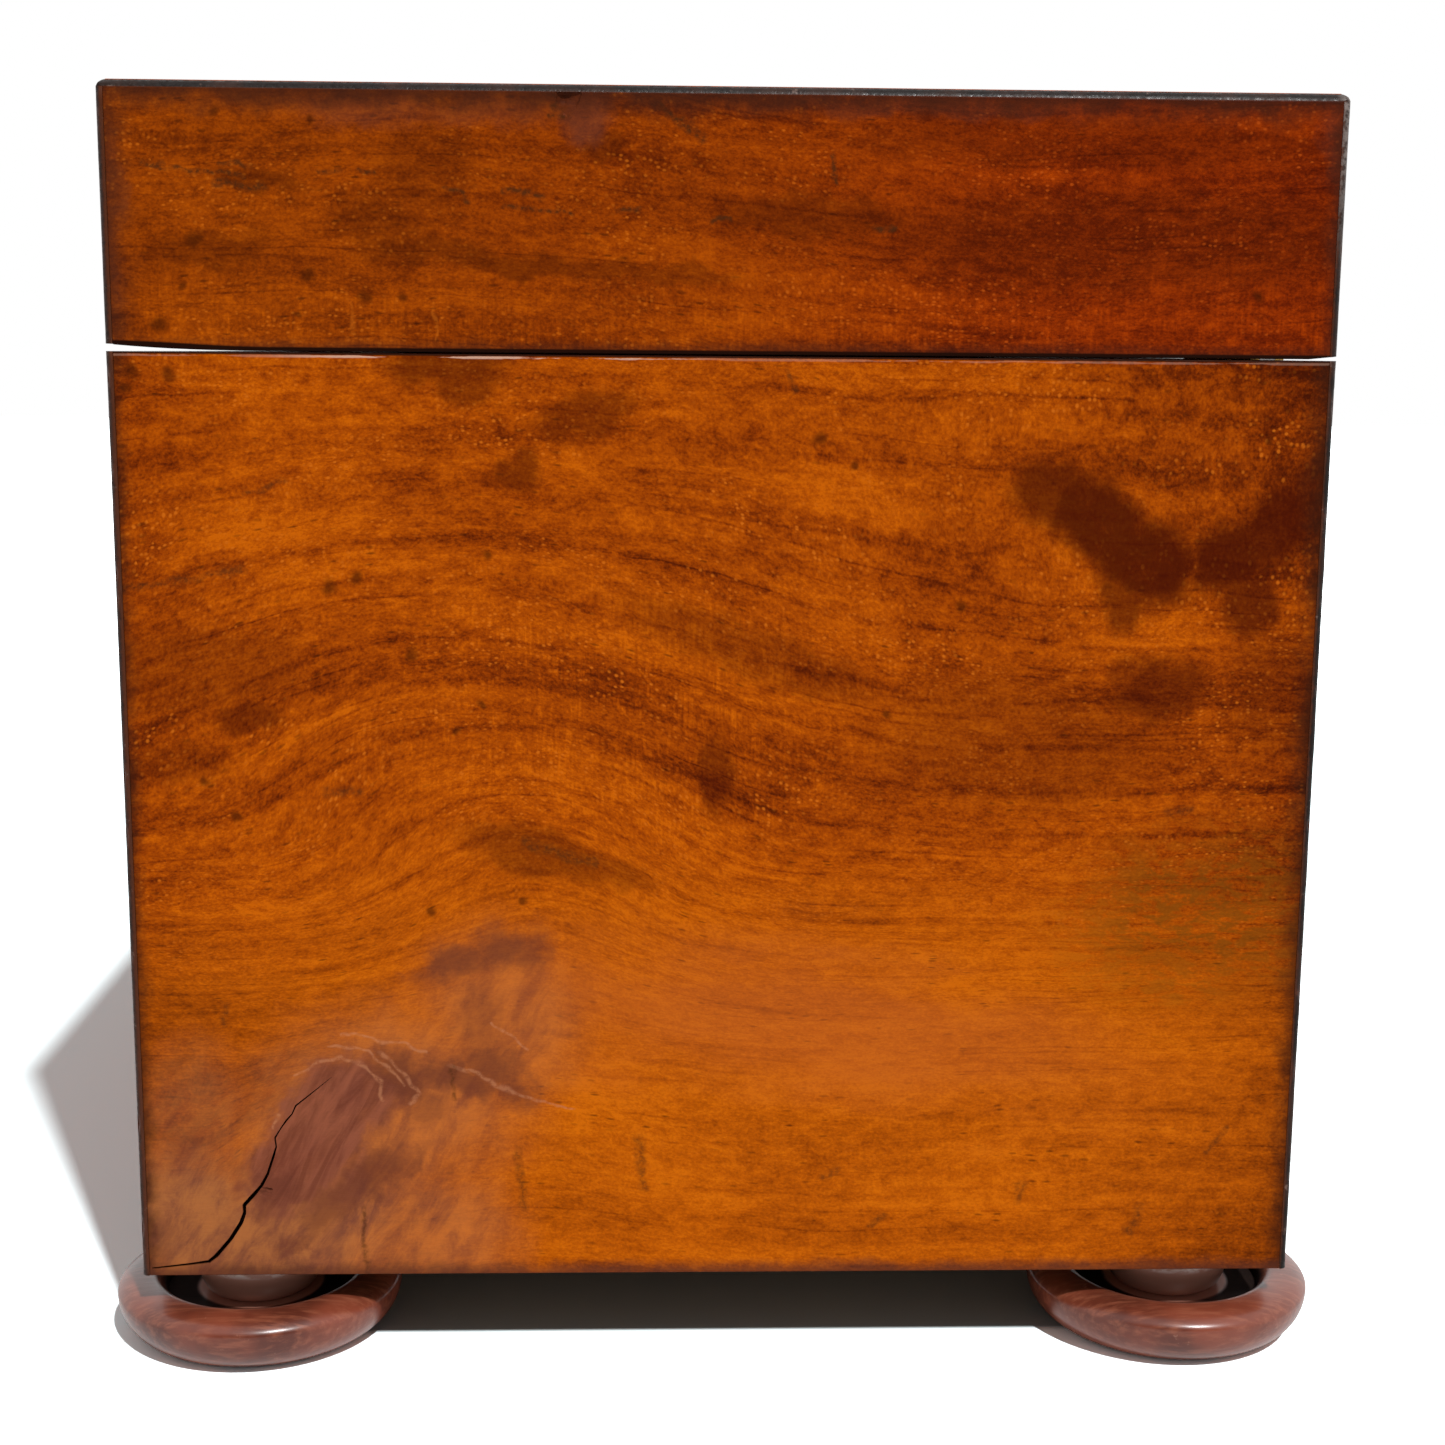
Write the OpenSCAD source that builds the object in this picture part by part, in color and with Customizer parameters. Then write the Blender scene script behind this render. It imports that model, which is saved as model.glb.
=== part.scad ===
// Two-division tea caddy on turned bun feet.
// +Z is up, the front is towards -Y, and the origin lies under the middle of the case,
// on the surface that the feet stand on.

/* [Case] */
// Outside length of the case, from end to end
case_length = 215; // [195:1:280]
// Outside depth of the case, from front to back
case_depth = 125; // [112:1:160]
// Height of the case walls, from their lower edges to the rim
case_height = 98.6; // [85:0.2:130]
// Thickness of the front, back and end boards, in the case and in the lid
board_thickness = 9; // [8.6:0.2:11]
// Thickness of the base board
base_thickness = 6; // [5.5:0.5:9]
// Wood left outside the base board, along the foot of each wall
base_lip = 3; // [2:0.5:4]

/* [Lid] */
// Height of the lid, from its rim to its top
lid_height = 26.35; // [25:0.05:36]
// Gap between the rim of the case and the rim of the closed lid
seam_gap = 0.15; // [0.1:0.05:0.6]
// Thickness of the top panel
top_panel_thickness = 6; // [4:0.5:7]
// Thickness of the lining board under the top panel
lid_lining_thickness = 2; // [1:0.25:2.5]
// Gap around the lining board
lid_lining_gap = 0.3; // [0.2:0.1:1]
// Rise of the worn rim at the front of the lid
front_wear_rise = 0.6; // [0.1:0.05:0.8]
// Length of the worn rim, back from the front of the lid
front_wear_run = 16; // [10:1:30]
// Rise of the worn rim at the back of the lid
back_wear_rise = 0.3; // [0.1:0.05:0.5]
// Length of the worn rim, forward from the back of the lid
back_wear_run = 3; // [1:0.5:8]

/* [Stringing] */
// Width of the square strings let into the outer corners and top edges
string_width = 0.8; // [0.8:0.1:1.6]
// Radius worn on the outer corner of each string
string_round = 0.7; // [0.3:0.05:0.75]

/* [Feet] */
// Height of the feet
foot_height = 10; // [9.5:0.5:14]
// Distance of each foot's axis from the outer faces of the case
foot_inset = 10.8; // [9:0.2:16]
// Radius of the foot's ring at its widest
foot_radius = 15.8; // [14:0.1:17]
// Radius of the flat sole of the foot
foot_sole_radius = 11; // [9:0.1:13]
// Height at which the ring is widest
foot_widest_level = 4.9; // [4:0.1:5.4]
// Radius of the circle along the top of the ring
foot_crest_radius = 12.2; // [11.5:0.1:13.5]
// Height of the foot's ring
foot_ring_height = 6.6; // [5.8:0.1:7.6]
// Width of the ring's inner slope, from its top down to the groove
foot_slope_width = 1.8; // [1:0.1:2.4]
// Height of the floor of the groove between the ring and the neck
foot_groove_level = 4.4; // [3.5:0.1:5]
// Radius of the foot's neck bead
foot_neck_radius = 6.8; // [5.5:0.1:7.4]
// How far the neck bead bulges
foot_bead_bulge = 1.6; // [0.8:0.1:2]
// Radius of the tenon on top of each foot
foot_tenon_radius = 3.5; // [2.5:0.1:4.5]
// Length of the tenon on top of each foot
foot_tenon_length = 4.5; // [3:0.1:5]
// Clearance around and above glued tenons
glue_gap = 0.05; // [0.02:0.01:0.1]

/* [Compartments] */
// Thickness of the linings inside the case walls
lining_thickness = 3; // [2.5:0.5:5]
// Thickness of the partition under the inner lids
partition_thickness = 8; // [7:0.5:11]
// Width of the partition's rib, between the inner lids
partition_rib_width = 2.4; // [2:0.1:4]
// Depth of the grooves that house the partition
partition_housing = 1.2; // [0.5:0.1:2]
// Thickness of the inner lids
inner_lid_thickness = 5; // [4:0.5:7]
// Depth of the inner lids' tops below the rim of the case
inner_lid_drop = 9; // [9:0.5:12]
// Clearance around each inner lid
inner_lid_gap = 0.4; // [0.3:0.05:0.8]
// Radius of the rounded upper edge of each inner lid
inner_lid_round = 1.2; // [0.5:0.1:2]

/* [Knobs] */
// Height of the inner lids' knobs
knob_height = 8.6; // [7.5:0.1:9]
// Radius of the knob's button
knob_radius = 5; // [4:0.1:7]
// Height of the knob's button
knob_button_height = 4.6; // [3.5:0.1:5]
// Radius of the knob's neck
knob_neck_radius = 2.4; // [2:0.1:3.2]
// Radius of the knob's base collar
knob_collar_radius = 4.2; // [3.6:0.1:6]
// Thickness of the knob's base collar
knob_collar_thickness = 1.2; // [0.8:0.1:1.6]
// Radius of the tenon that holds the knob in its lid
knob_tenon_radius = 1.8; // [1.2:0.1:2]

/* [Hinges] */
// Length of each hinge
hinge_length = 32; // [26:1:40]
// Distance of each hinge's middle from the end of the case
hinge_inset = 45; // [35:1:55]
// Width of the hinge leaves, from their front edges to the back of the case
hinge_leaf_width = 7; // [6:0.2:8]
// Thickness of the hinge leaves
hinge_leaf_thickness = 1.2; // [0.8:0.1:1.4]
// Distance of the hinge axis behind the back of the case
hinge_offset = 1; // [0.6:0.1:1.6]
// Outer radius of the knuckles
knuckle_radius = 1.9; // [1.7:0.1:2.4]
// Number of knuckles, an odd number with one more on the case leaf
knuckle_count = 5; // [3:2:7]
// Gap between neighbouring knuckles
knuckle_gap = 0.35; // [0.3:0.05:0.6]
// Clearance between a knuckle and the wood or leaf that it turns past
knuckle_clearance = 0.35; // [0.3:0.05:0.6]
// Radius of the hinge pins
hinge_pin_radius = 0.9; // [0.7:0.05:1]
// Running clearance between the hinge pins and the knuckles
hinge_pin_clearance = 0.05; // [0.02:0.01:0.1]

/* [Screws] */
// Radius of the countersunk screw heads
screw_head_radius = 1.6; // [1.4:0.1:1.8]
// Depth of the countersunk screw heads
screw_head_depth = 0.7; // [0.5:0.05:0.75]
// Radius of the screw shanks
screw_shank_radius = 0.8; // [0.6:0.05:0.9]
// Length of the screws, with their heads
screw_length = 6.5; // [5:0.1:6.8]
// Width of the screwdriver slots
screw_slot_width = 0.5; // [0.3:0.05:0.7]
// Depth of the screwdriver slots
screw_slot_depth = 0.4; // [0.2:0.05:0.45]
// Distance of the outer hinge screws from the middle of the hinge
hinge_screw_spacing = 11; // [8:0.5:11]

/* [Lock] */
// Length of the lock plate along the rim
lock_length = 38; // [36:1:50]
// Height of the lock plate inside the front board
lock_height = 21; // [20:0.5:26]
// Depth of the lock, from the inner face of the front board
lock_depth = 6.8; // [6.6:0.1:7.4]
// Thickness of the lock plate
lock_plate_thickness = 1.2; // [1:0.05:1.4]
// Length of the lock's box
lock_box_length = 28; // [26:0.5:29]
// Height of the lock's box, under the rim plate
lock_box_height = 18; // [17.5:0.5:18.5]
// Wall thickness of the lock's box
lock_wall = 0.8; // [0.6:0.1:0.9]
// Clearance of the moving bolt and of the staple in the lock
lock_clearance = 0.35; // [0.3:0.05:0.5]
// Travel of the bolt
bolt_travel = 4; // [3:0.1:4.5]
// Thickness of the bolt
bolt_thickness = 1.2; // [0.8:0.1:1.4]
// Height of the bolt's nose
bolt_nose_height = 2; // [1.5:0.1:2.4]
// Length of the bolt's body
bolt_body_length = 11; // [9:0.5:11]
// Height of the bolt's body
bolt_body_height = 6.4; // [5:0.1:7]
// Depth of the middle of the bolt's nose below the rim
bolt_level = 3.9; // [3.6:0.1:4.4]
// Length of the bolt's tail that stays on its rest when the bolt is out
bolt_rest_overlap = 1.2; // [0.6:0.1:1.6]
// Radius of the notch that the key's bit enters
talon_radius = 1.4; // [1:0.1:1.8]
// Depth of the keyhole's centre below the rim
key_level = 13.4; // [13:0.1:14.2]
// Radius of the pin that guides the key
key_pin_radius = 0.8; // [0.5:0.05:1]
// Radius of the round part of the keyhole
keyhole_radius = 1.7; // [1.4:0.1:2.2]
// Width of the keyhole's slot
keyhole_slot_width = 1.6; // [1.2:0.1:2.2]
// Length of the keyhole's slot, from the centre of its round part
keyhole_slot_length = 4; // [3:0.1:4.4]
// Width of the brass border around the keyhole
escutcheon_border = 1.3; // [0.8:0.1:2]
// Depth to which the keyhole's border is let in
escutcheon_depth = 0.9; // [0.5:0.1:1.1]
// Height by which the keyhole's border stands out of the front
escutcheon_stand = 0.2; // [0.1:0.05:0.4]
// Thickness of the lock's leaf spring
spring_thickness = 0.4; // [0.3:0.05:0.5]
// Width of the lock's leaf spring
spring_width = 2.4; // [1.6:0.1:3]

/* [Link plate] */
// Length of the link plate in the lid
link_length = 30; // [26:1:38]
// Width of the link plate
link_width = 6.4; // [5.8:0.1:6.6]
// Thickness of the link plate
link_thickness = 1.2; // [1:0.05:1.4]
// Distance of the staple from the middle of the lock
staple_offset = 6; // [5.5:0.1:6.5]
// Thickness of the staple along the lock
staple_thickness = 1.6; // [1.2:0.1:1.8]
// Width of each of the staple's legs
staple_leg_width = 0.9; // [0.7:0.05:1]
// Height of the bar across the foot of the staple
staple_bar_height = 1; // [0.7:0.05:1.2]
// Distance of the link plate's screws from the middle of the lid
link_screw_spacing = 12; // [10:0.5:12]
// Distance of the lock's screws from its middle
lock_screw_spacing = 16.5; // [16.2:0.1:17]

/* [Hidden] */
$fn = 48;

half_length = case_length / 2;
half_depth = case_depth / 2;
inner_half_length = half_length - board_thickness;
inner_half_depth = half_depth - board_thickness;

// Levels, from the floor up
base_top = foot_height + base_thickness;
rim = foot_height + case_height;
lid_rim = rim + seam_gap;
lid_top = lid_rim + lid_height;
string_top = lid_top - string_width;
inner_lid_top = rim - inner_lid_drop;
ledge = inner_lid_top - inner_lid_thickness;
top_panel_underside = lid_top - top_panel_thickness;

hinge_y = half_depth + hinge_offset;
hinge_z = rim + seam_gap / 2;
hinge_x = half_length - hinge_inset;
hinge_screw_y = half_depth - hinge_leaf_width / 2;

// The lock lies in the front board, centred on the length of the case
lock_back = -inner_half_depth;
lock_front = lock_back - lock_depth;
box_back = lock_back - lock_plate_thickness;
box_top = rim - lock_plate_thickness;
box_floor = box_top - lock_box_height + lock_wall;
cavity_half_length = lock_box_length / 2 - lock_wall;
cavity_depth = lock_depth - lock_plate_thickness - lock_wall;
lock_middle = box_back - cavity_depth / 2;
key_z = rim - key_level;
bolt_z = rim - bolt_level;
staple_left = staple_offset - staple_thickness / 2;
staple_eye_width = bolt_thickness + 2 * lock_clearance;
staple_width = staple_eye_width + 2 * staple_leg_width;
staple_eye_floor = bolt_z - bolt_nose_height / 2 - lock_clearance;
staple_eye_top = bolt_z + bolt_nose_height / 2 + lock_clearance;
link_face = lid_rim + front_wear_rise;
nose_tip = staple_left - 2 * lock_clearance;
bolt_body_end = staple_left - lock_clearance - bolt_travel;
bolt_rest_end = bolt_body_end - bolt_body_length + bolt_travel + bolt_rest_overlap;
bolt_body_top = bolt_z + bolt_nose_height / 2;
bolt_body_floor = bolt_body_top - bolt_body_height;

wood = "peru";
ebonised = "#2a1a12";
turned_wood = "#6b2f1f";
lining_wood = "#8a4a22";
brass = "#b08d4c";
steel = "#77736b";
velvet = "#5a1a26";

eps = 1; // overshoot of cutting solids

// Points along an elliptical arc, from angle a to angle b
function arc(centre_x, centre_y, radius_x, radius_y, a, b, steps = 16) =
    [for (i = [0:steps]) let (angle = a + (b - a) * i / steps)
        [centre_x + radius_x * cos(angle), centre_y + radius_y * sin(angle)]];

// Plan of one wall, mitred at both ends: its outer face lies along -Y
function wall_plan(half_along, half_across) = [
    [-half_along, -half_across],
    [half_along, -half_across],
    [half_along - board_thickness, board_thickness - half_across],
    [board_thickness - half_along, board_thickness - half_across]
];

// A box centred on X and Y between two levels
module block(size_x, size_y, low, high) {
    translate([-size_x / 2, -size_y / 2, low]) cube([size_x, size_y, high - low]);
}

// Places its children at one corner of the case, mirrored so that they stay right-handed copies
module at_corner(side_x, side_y, inset = 0) {
    translate([side_x * (half_length - inset), side_y * (half_depth - inset), 0])
        mirror([side_x < 0 ? 1 : 0, 0, 0]) mirror([0, side_y < 0 ? 1 : 0, 0]) children();
}

// Square rebates for the corner strings
module corner_rebates(low, high) {
    for (side_x = [-1, 1], side_y = [-1, 1])
        at_corner(side_x, side_y, string_width) translate([0, 0, low - eps])
            cube([string_width + eps, string_width + eps, high - low + 2 * eps]);
}

// Section of a string: a square from the origin, with its far corner worn round
module string_section() {
    intersection() {
        square(string_width);
        union() {
            square([string_width, string_width - string_round]);
            square([string_width - string_round, string_width]);
            translate([string_width - string_round, string_width - string_round]) circle(string_round);
        }
    }
}

module corner_string(side_x, side_y, low, high) {
    at_corner(side_x, side_y, string_width) translate([0, 0, low])
        linear_extrude(high - low) string_section();
}

// A wall of the case or lid, turned so that its outer face points the given way
module wall(turn, half_along, half_across, low, high) {
    rotate([0, 0, turn]) translate([0, 0, low]) linear_extrude(high - low)
        polygon(wall_plan(half_along, half_across));
}

// ---- screws ----
// Countersunk screw pointing down, its head flush with z = 0
module screw(gap = 0) {
    difference() {
        union() {
            translate([0, 0, -screw_length - gap]) cylinder(r = screw_shank_radius + gap, h = screw_length + gap);
            translate([0, 0, -screw_head_depth])
                cylinder(r1 = screw_shank_radius + gap, r2 = screw_head_radius + gap, h = screw_head_depth);
        }
        if (gap == 0)
            translate([-screw_head_radius - eps, -screw_slot_width / 2, -screw_slot_depth])
                cube([2 * (screw_head_radius + eps), screw_slot_width, screw_slot_depth + eps]);
    }
}

// The hole that a screw goes into, run out past the surface
module screw_hole() {
    screw(glue_gap);
    cylinder(r = screw_head_radius + glue_gap, h = eps);
}

module place_case_hinge_screws() {
    for (side = [-1, 1], step = [-1, 0, 1])
        translate([side * hinge_x + step * hinge_screw_spacing, hinge_screw_y, rim]) children();
}

module place_lid_hinge_screws() {
    for (side = [-1, 1], step = [-1, 0, 1])
        translate([side * hinge_x + step * hinge_screw_spacing, hinge_screw_y, lid_rim])
            rotate([180, 0, 0]) children();
}

module place_lock_screws() {
    for (side = [-1, 1]) {
        translate([side * lock_screw_spacing, lock_middle, rim]) children();
        translate([side * lock_screw_spacing, lock_back, key_z]) rotate([-90, 0, 0]) children();
    }
}

module place_link_screws() {
    for (side = [-1, 1])
        translate([side * link_screw_spacing, lock_middle, link_face]) rotate([180, 0, 0]) children();
}

module case_hinge_screws() { color(brass) place_case_hinge_screws() screw(); }
module lid_hinge_screws() { color(brass) place_lid_hinge_screws() screw(); }
module lock_screws() { color(brass) place_lock_screws() screw(); }
module link_screws() { color(brass) place_link_screws() screw(); }

// ---- hinges ----
knuckle_pitch = hinge_length / knuckle_count;

module along_hinge(side, start, length, radius) {
    translate([side * hinge_x + start, hinge_y, hinge_z]) rotate([0, 90, 0])
        cylinder(r = radius, h = length);
}

// Space cut in the wood for both leaves of a hinge and for its knuckles
module hinge_space(side, low, high) {
    translate([side * hinge_x - hinge_length / 2, half_depth - hinge_leaf_width, low])
        cube([hinge_length, hinge_leaf_width + eps, high - low]);
    along_hinge(side, -hinge_length / 2, hinge_length, knuckle_radius + knuckle_clearance);
}

// One leaf: knuckles with the given parity are its own, and it clears the others
module hinge_leaf(side, low, parity) {
    difference() {
        union() {
            translate([side * hinge_x - hinge_length / 2, half_depth - hinge_leaf_width, low])
                cube([hinge_length, hinge_leaf_width + hinge_offset, hinge_leaf_thickness]);
            for (i = [parity:2:knuckle_count - 1])
                along_hinge(side, -hinge_length / 2 + i * knuckle_pitch, knuckle_pitch, knuckle_radius);
        }
        for (i = [1 - parity:2:knuckle_count - 1])
            along_hinge(side, -hinge_length / 2 + i * knuckle_pitch - knuckle_gap / 2,
                knuckle_pitch + knuckle_gap, knuckle_radius + knuckle_clearance);
        along_hinge(side, -hinge_length / 2 - eps, hinge_length + 2 * eps,
            hinge_pin_radius + hinge_pin_clearance);
        if (parity == 0) place_case_hinge_screws() screw_hole();
        else place_lid_hinge_screws() screw_hole();
    }
}

module hinge_pin(side) {
    color(steel) along_hinge(side, -hinge_length / 2, hinge_length, hinge_pin_radius);
}

module left_hinge_case_leaf() { color(brass) hinge_leaf(-1, rim - hinge_leaf_thickness, 0); }
module right_hinge_case_leaf() { color(brass) hinge_leaf(1, rim - hinge_leaf_thickness, 0); }
module left_hinge_lid_leaf() { color(brass) hinge_leaf(-1, lid_rim, 1); }
module right_hinge_lid_leaf() { color(brass) hinge_leaf(1, lid_rim, 1); }
module left_hinge_pin() { hinge_pin(-1); }
module right_hinge_pin() { hinge_pin(1); }

// ---- lock ----
// Keyhole outline, grown by a border; drawn in X and Y with its slot pointing down
module keyhole_outline(border = 0) {
    circle(keyhole_radius + border);
    translate([-keyhole_slot_width / 2 - border, -keyhole_slot_length - border])
        square([keyhole_slot_width + 2 * border, keyhole_slot_length + border]);
}

// The keyhole outline swept from one Y to a greater one, at the key's axis
module keyhole_sweep(from_y, to_y, border = 0) {
    translate([0, to_y, key_z]) rotate([90, 0, 0]) linear_extrude(to_y - from_y) keyhole_outline(border);
}

module lock_box_outside() {
    translate([-lock_box_length / 2, lock_front, box_top - lock_box_height])
        cube([lock_box_length, box_back - lock_front, lock_box_height]);
}

module lock_plate_blank() {
    translate([-lock_length / 2, lock_front, box_top])
        cube([lock_length, lock_depth, lock_plate_thickness]);
    translate([-lock_length / 2, box_back, rim - lock_height])
        cube([lock_length, lock_plate_thickness, lock_height]);
}

module lock_plate() {
    color(brass) difference() {
        lock_plate_blank();
        translate([staple_left - 2 * lock_clearance, box_back - cavity_depth, box_top - eps])
            cube([staple_thickness + 4 * lock_clearance, cavity_depth, lock_plate_thickness + 2 * eps]);
        place_lock_screws() screw_hole();
        translate([0, box_back - eps, key_z]) rotate([-90, 0, 0])
            cylinder(r = key_pin_radius + glue_gap, h = lock_plate_thickness + 2 * eps);
    }
}

module lock_box() {
    color(brass) {
        difference() {
            lock_box_outside();
            translate([-cavity_half_length, box_back - cavity_depth, box_floor])
                cube([2 * cavity_half_length, cavity_depth + eps, box_top - box_floor + eps]);
            keyhole_sweep(lock_front - eps, box_back - cavity_depth + eps);
        }
        // rest that the tail of the bolt slides on
        translate([-cavity_half_length, box_back - cavity_depth, box_floor])
            cube([bolt_rest_end + cavity_half_length, cavity_depth,
                bolt_body_floor - lock_clearance - box_floor]);
    }
}

module lock_bolt() {
    color(brass) translate([0, lock_middle + bolt_thickness / 2, 0]) rotate([90, 0, 0])
        linear_extrude(bolt_thickness) difference() {
            union() {
                translate([bolt_body_end - bolt_body_length, bolt_body_floor])
                    square([bolt_body_length, bolt_body_height]);
                translate([bolt_body_end - eps, bolt_z - bolt_nose_height / 2])
                    square([nose_tip - bolt_body_end + eps, bolt_nose_height]);
            }
            translate([-bolt_travel / 2, bolt_body_floor]) circle(talon_radius);
        }
}

module lock_spring() {
    spring_end = bolt_body_end - bolt_body_length / 2;
    low = bolt_body_top + lock_clearance;
    high = box_top - spring_thickness - lock_clearance;
    color(steel) translate([0, lock_middle + spring_width / 2, 0]) rotate([90, 0, 0])
        linear_extrude(spring_width) polygon([
            [-cavity_half_length, high], [spring_end, low],
            [spring_end, low + spring_thickness], [-cavity_half_length, high + spring_thickness]
        ]);
}

module key_pin() {
    color(steel) translate([0, lock_back, key_z]) rotate([90, 0, 0])
        cylinder(r = key_pin_radius, h = lock_depth - lock_wall);
}

module keyhole_escutcheon() {
    color(brass) difference() {
        keyhole_sweep(-half_depth - escutcheon_stand, -half_depth + escutcheon_depth, escutcheon_border);
        keyhole_sweep(-half_depth - escutcheon_stand - eps, -half_depth + escutcheon_depth + eps);
    }
}

module link_plate_blank(length, gap = 0) {
    translate([-length / 2, lock_middle - link_width / 2 - gap, link_face])
        cube([length, link_width + 2 * gap, link_thickness + gap]);
}

module link_plate() {
    color(brass) difference() {
        link_plate_blank(link_length);
        place_link_screws() screw_hole();
        translate([staple_left, lock_middle - staple_width / 2, link_face - eps])
            cube([staple_thickness, staple_width, link_thickness + 2 * eps]);
    }
}

// A loop that hangs from the link plate; the bolt's nose passes through its eye
module link_staple() {
    color(brass) translate([staple_left, lock_middle, 0]) difference() {
        translate([0, -staple_width / 2, staple_eye_floor - staple_bar_height])
            cube([staple_thickness, staple_width, link_face + link_thickness - staple_eye_floor + staple_bar_height]);
        translate([-eps, -staple_eye_width / 2, staple_eye_floor])
            cube([staple_thickness + 2 * eps, staple_eye_width, staple_eye_top - staple_eye_floor]);
    }
}

// ---- case ----
module base_space() {
    block(2 * (half_length - base_lip), 2 * (half_depth - base_lip), foot_height, base_top);
}

module case_wall(turn, half_along, half_across) {
    difference() {
        wall(turn, half_along, half_across, foot_height, rim);
        corner_rebates(foot_height, rim);
        base_space();
    }
}

module front_board() {
    color(wood) difference() {
        case_wall(0, half_length, half_depth);
        lock_plate_blank();
        lock_box_outside();
        place_lock_screws() screw_hole();
        keyhole_sweep(-half_depth - eps, lock_front + eps);
        keyhole_sweep(-half_depth - eps, -half_depth + escutcheon_depth, escutcheon_border);
    }
}

module back_board() {
    color(wood) difference() {
        case_wall(180, half_length, half_depth);
        for (side = [-1, 1]) hinge_space(side, rim - hinge_leaf_thickness, rim + eps);
        place_case_hinge_screws() screw_hole();
    }
}

module left_end_board() { color(wood) case_wall(-90, half_depth, half_length); }
module right_end_board() { color(wood) case_wall(90, half_depth, half_length); }

module base_board() {
    color(lining_wood) difference() {
        base_space();
        for (side_x = [-1, 1], side_y = [-1, 1])
            at_corner(side_x, side_y, foot_inset) translate([0, 0, foot_height - eps])
                cylinder(r = foot_tenon_radius + glue_gap, h = foot_tenon_length + glue_gap + eps);
    }
}

module case_string(side_x, side_y) { color(ebonised) corner_string(side_x, side_y, foot_height, rim); }
module case_string_front_left() { case_string(-1, -1); }
module case_string_front_right() { case_string(1, -1); }
module case_string_back_left() { case_string(-1, 1); }
module case_string_back_right() { case_string(1, 1); }

// Turned bun foot: a fat ring, a deep groove, a neck bead and a tenon
module foot(side_x, side_y) {
    bead_middle = (foot_height + foot_groove_level) / 2;
    bead_half_height = (foot_height - foot_groove_level) / 2;
    bead_root = foot_neck_radius - foot_bead_bulge;
    color(turned_wood) at_corner(side_x, side_y, foot_inset) rotate_extrude() polygon(concat(
        [[0, 0]],
        arc(foot_sole_radius, foot_widest_level, foot_radius - foot_sole_radius, foot_widest_level, -90, 0, 14),
        arc(foot_crest_radius, foot_widest_level, foot_radius - foot_crest_radius,
            foot_ring_height - foot_widest_level, 8, 90, 12),
        arc(foot_crest_radius, foot_groove_level, foot_slope_width,
            foot_ring_height - foot_groove_level, 98, 180, 10),
        [[bead_root, foot_groove_level]],
        arc(bead_root, bead_middle, foot_bead_bulge, bead_half_height, -75, 75, 12),
        [
            [bead_root, foot_height],
            [foot_tenon_radius, foot_height],
            [foot_tenon_radius, foot_height + foot_tenon_length],
            [0, foot_height + foot_tenon_length]
        ]
    ));
}

module foot_front_left() { foot(-1, -1); }
module foot_front_right() { foot(1, -1); }
module foot_back_left() { foot(-1, 1); }
module foot_back_right() { foot(1, 1); }

// ---- linings and partition ----
lining_half_length = inner_half_length - lining_thickness;
lining_half_depth = inner_half_depth - lining_thickness;

module long_lining(side) {
    color(lining_wood) difference() {
        translate([-inner_half_length, side > 0 ? lining_half_depth : -inner_half_depth, base_top])
            cube([2 * inner_half_length, lining_thickness, ledge - base_top]);
        partition_board();
    }
}

module end_lining(side) {
    color(lining_wood) translate([side > 0 ? lining_half_length : -inner_half_length, -lining_half_depth, base_top])
        cube([lining_thickness, 2 * lining_half_depth, ledge - base_top]);
}

module partition_board() {
    block(partition_thickness, 2 * (lining_half_depth + partition_housing), base_top, ledge);
    block(partition_rib_width, 2 * (lining_half_depth + partition_housing), base_top, inner_lid_top);
    block(partition_rib_width, 2 * inner_half_depth, ledge, inner_lid_top);
}

module front_lining() { long_lining(-1); }
module back_lining() { long_lining(1); }
module left_end_lining() { end_lining(-1); }
module right_end_lining() { end_lining(1); }
module partition() { color(lining_wood) partition_board(); }

// ---- inner lids ----
inner_lid_start = partition_rib_width / 2 + inner_lid_gap;
inner_lid_length = inner_half_length - inner_lid_gap - inner_lid_start;
inner_lid_half_depth = inner_half_depth - inner_lid_gap;
inner_lid_middle = inner_lid_start + inner_lid_length / 2;

module inner_lid(side) {
    color(wood) translate([side * inner_lid_middle, 0, 0]) difference() {
        block(inner_lid_length, 2 * inner_lid_half_depth, ledge, inner_lid_top);
        translate([0, 0, ledge - eps])
            cylinder(r = knob_tenon_radius + glue_gap, h = inner_lid_thickness + 2 * eps);
        for (edge = [-1, 1]) {
            round_edge(edge * inner_lid_half_depth, inner_lid_length, edge, 0);
            round_edge(edge * inner_lid_length / 2, 2 * inner_lid_half_depth, edge, 90);
        }
    }
}

// Cuts the upper edge of an inner lid to a quarter round; turn 90 does the short edges
module round_edge(reach, length, edge, turn) {
    rotate([0, 0, -turn]) translate([0, reach, inner_lid_top]) mirror([0, edge < 0 ? 1 : 0, 0])
        rotate([0, 90, 0]) translate([0, 0, -length / 2 - eps]) linear_extrude(length + 2 * eps)
            difference() {
                translate([-eps, -inner_lid_round]) square([inner_lid_round + eps, inner_lid_round + eps]);
                translate([inner_lid_round, -inner_lid_round]) circle(inner_lid_round);
            }
}

module knob(side) {
    button_half = knob_button_height / 2;
    button_middle = knob_height - button_half;
    color(turned_wood) translate([side * inner_lid_middle, 0, inner_lid_top]) rotate_extrude() polygon(concat(
        [
            [0, -inner_lid_thickness], [knob_tenon_radius, -inner_lid_thickness], [knob_tenon_radius, 0],
            [knob_collar_radius, 0]
        ],
        arc(knob_collar_radius, knob_collar_thickness / 2, knob_collar_thickness / 2,
            knob_collar_thickness / 2, -60, 90, 8),
        arc(knob_collar_radius, button_middle, knob_collar_radius - knob_neck_radius,
            button_middle - knob_collar_thickness, -95, -165, 8),
        arc(0, button_middle, knob_radius, button_half, -50, 90, 16)
    ));
}

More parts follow.
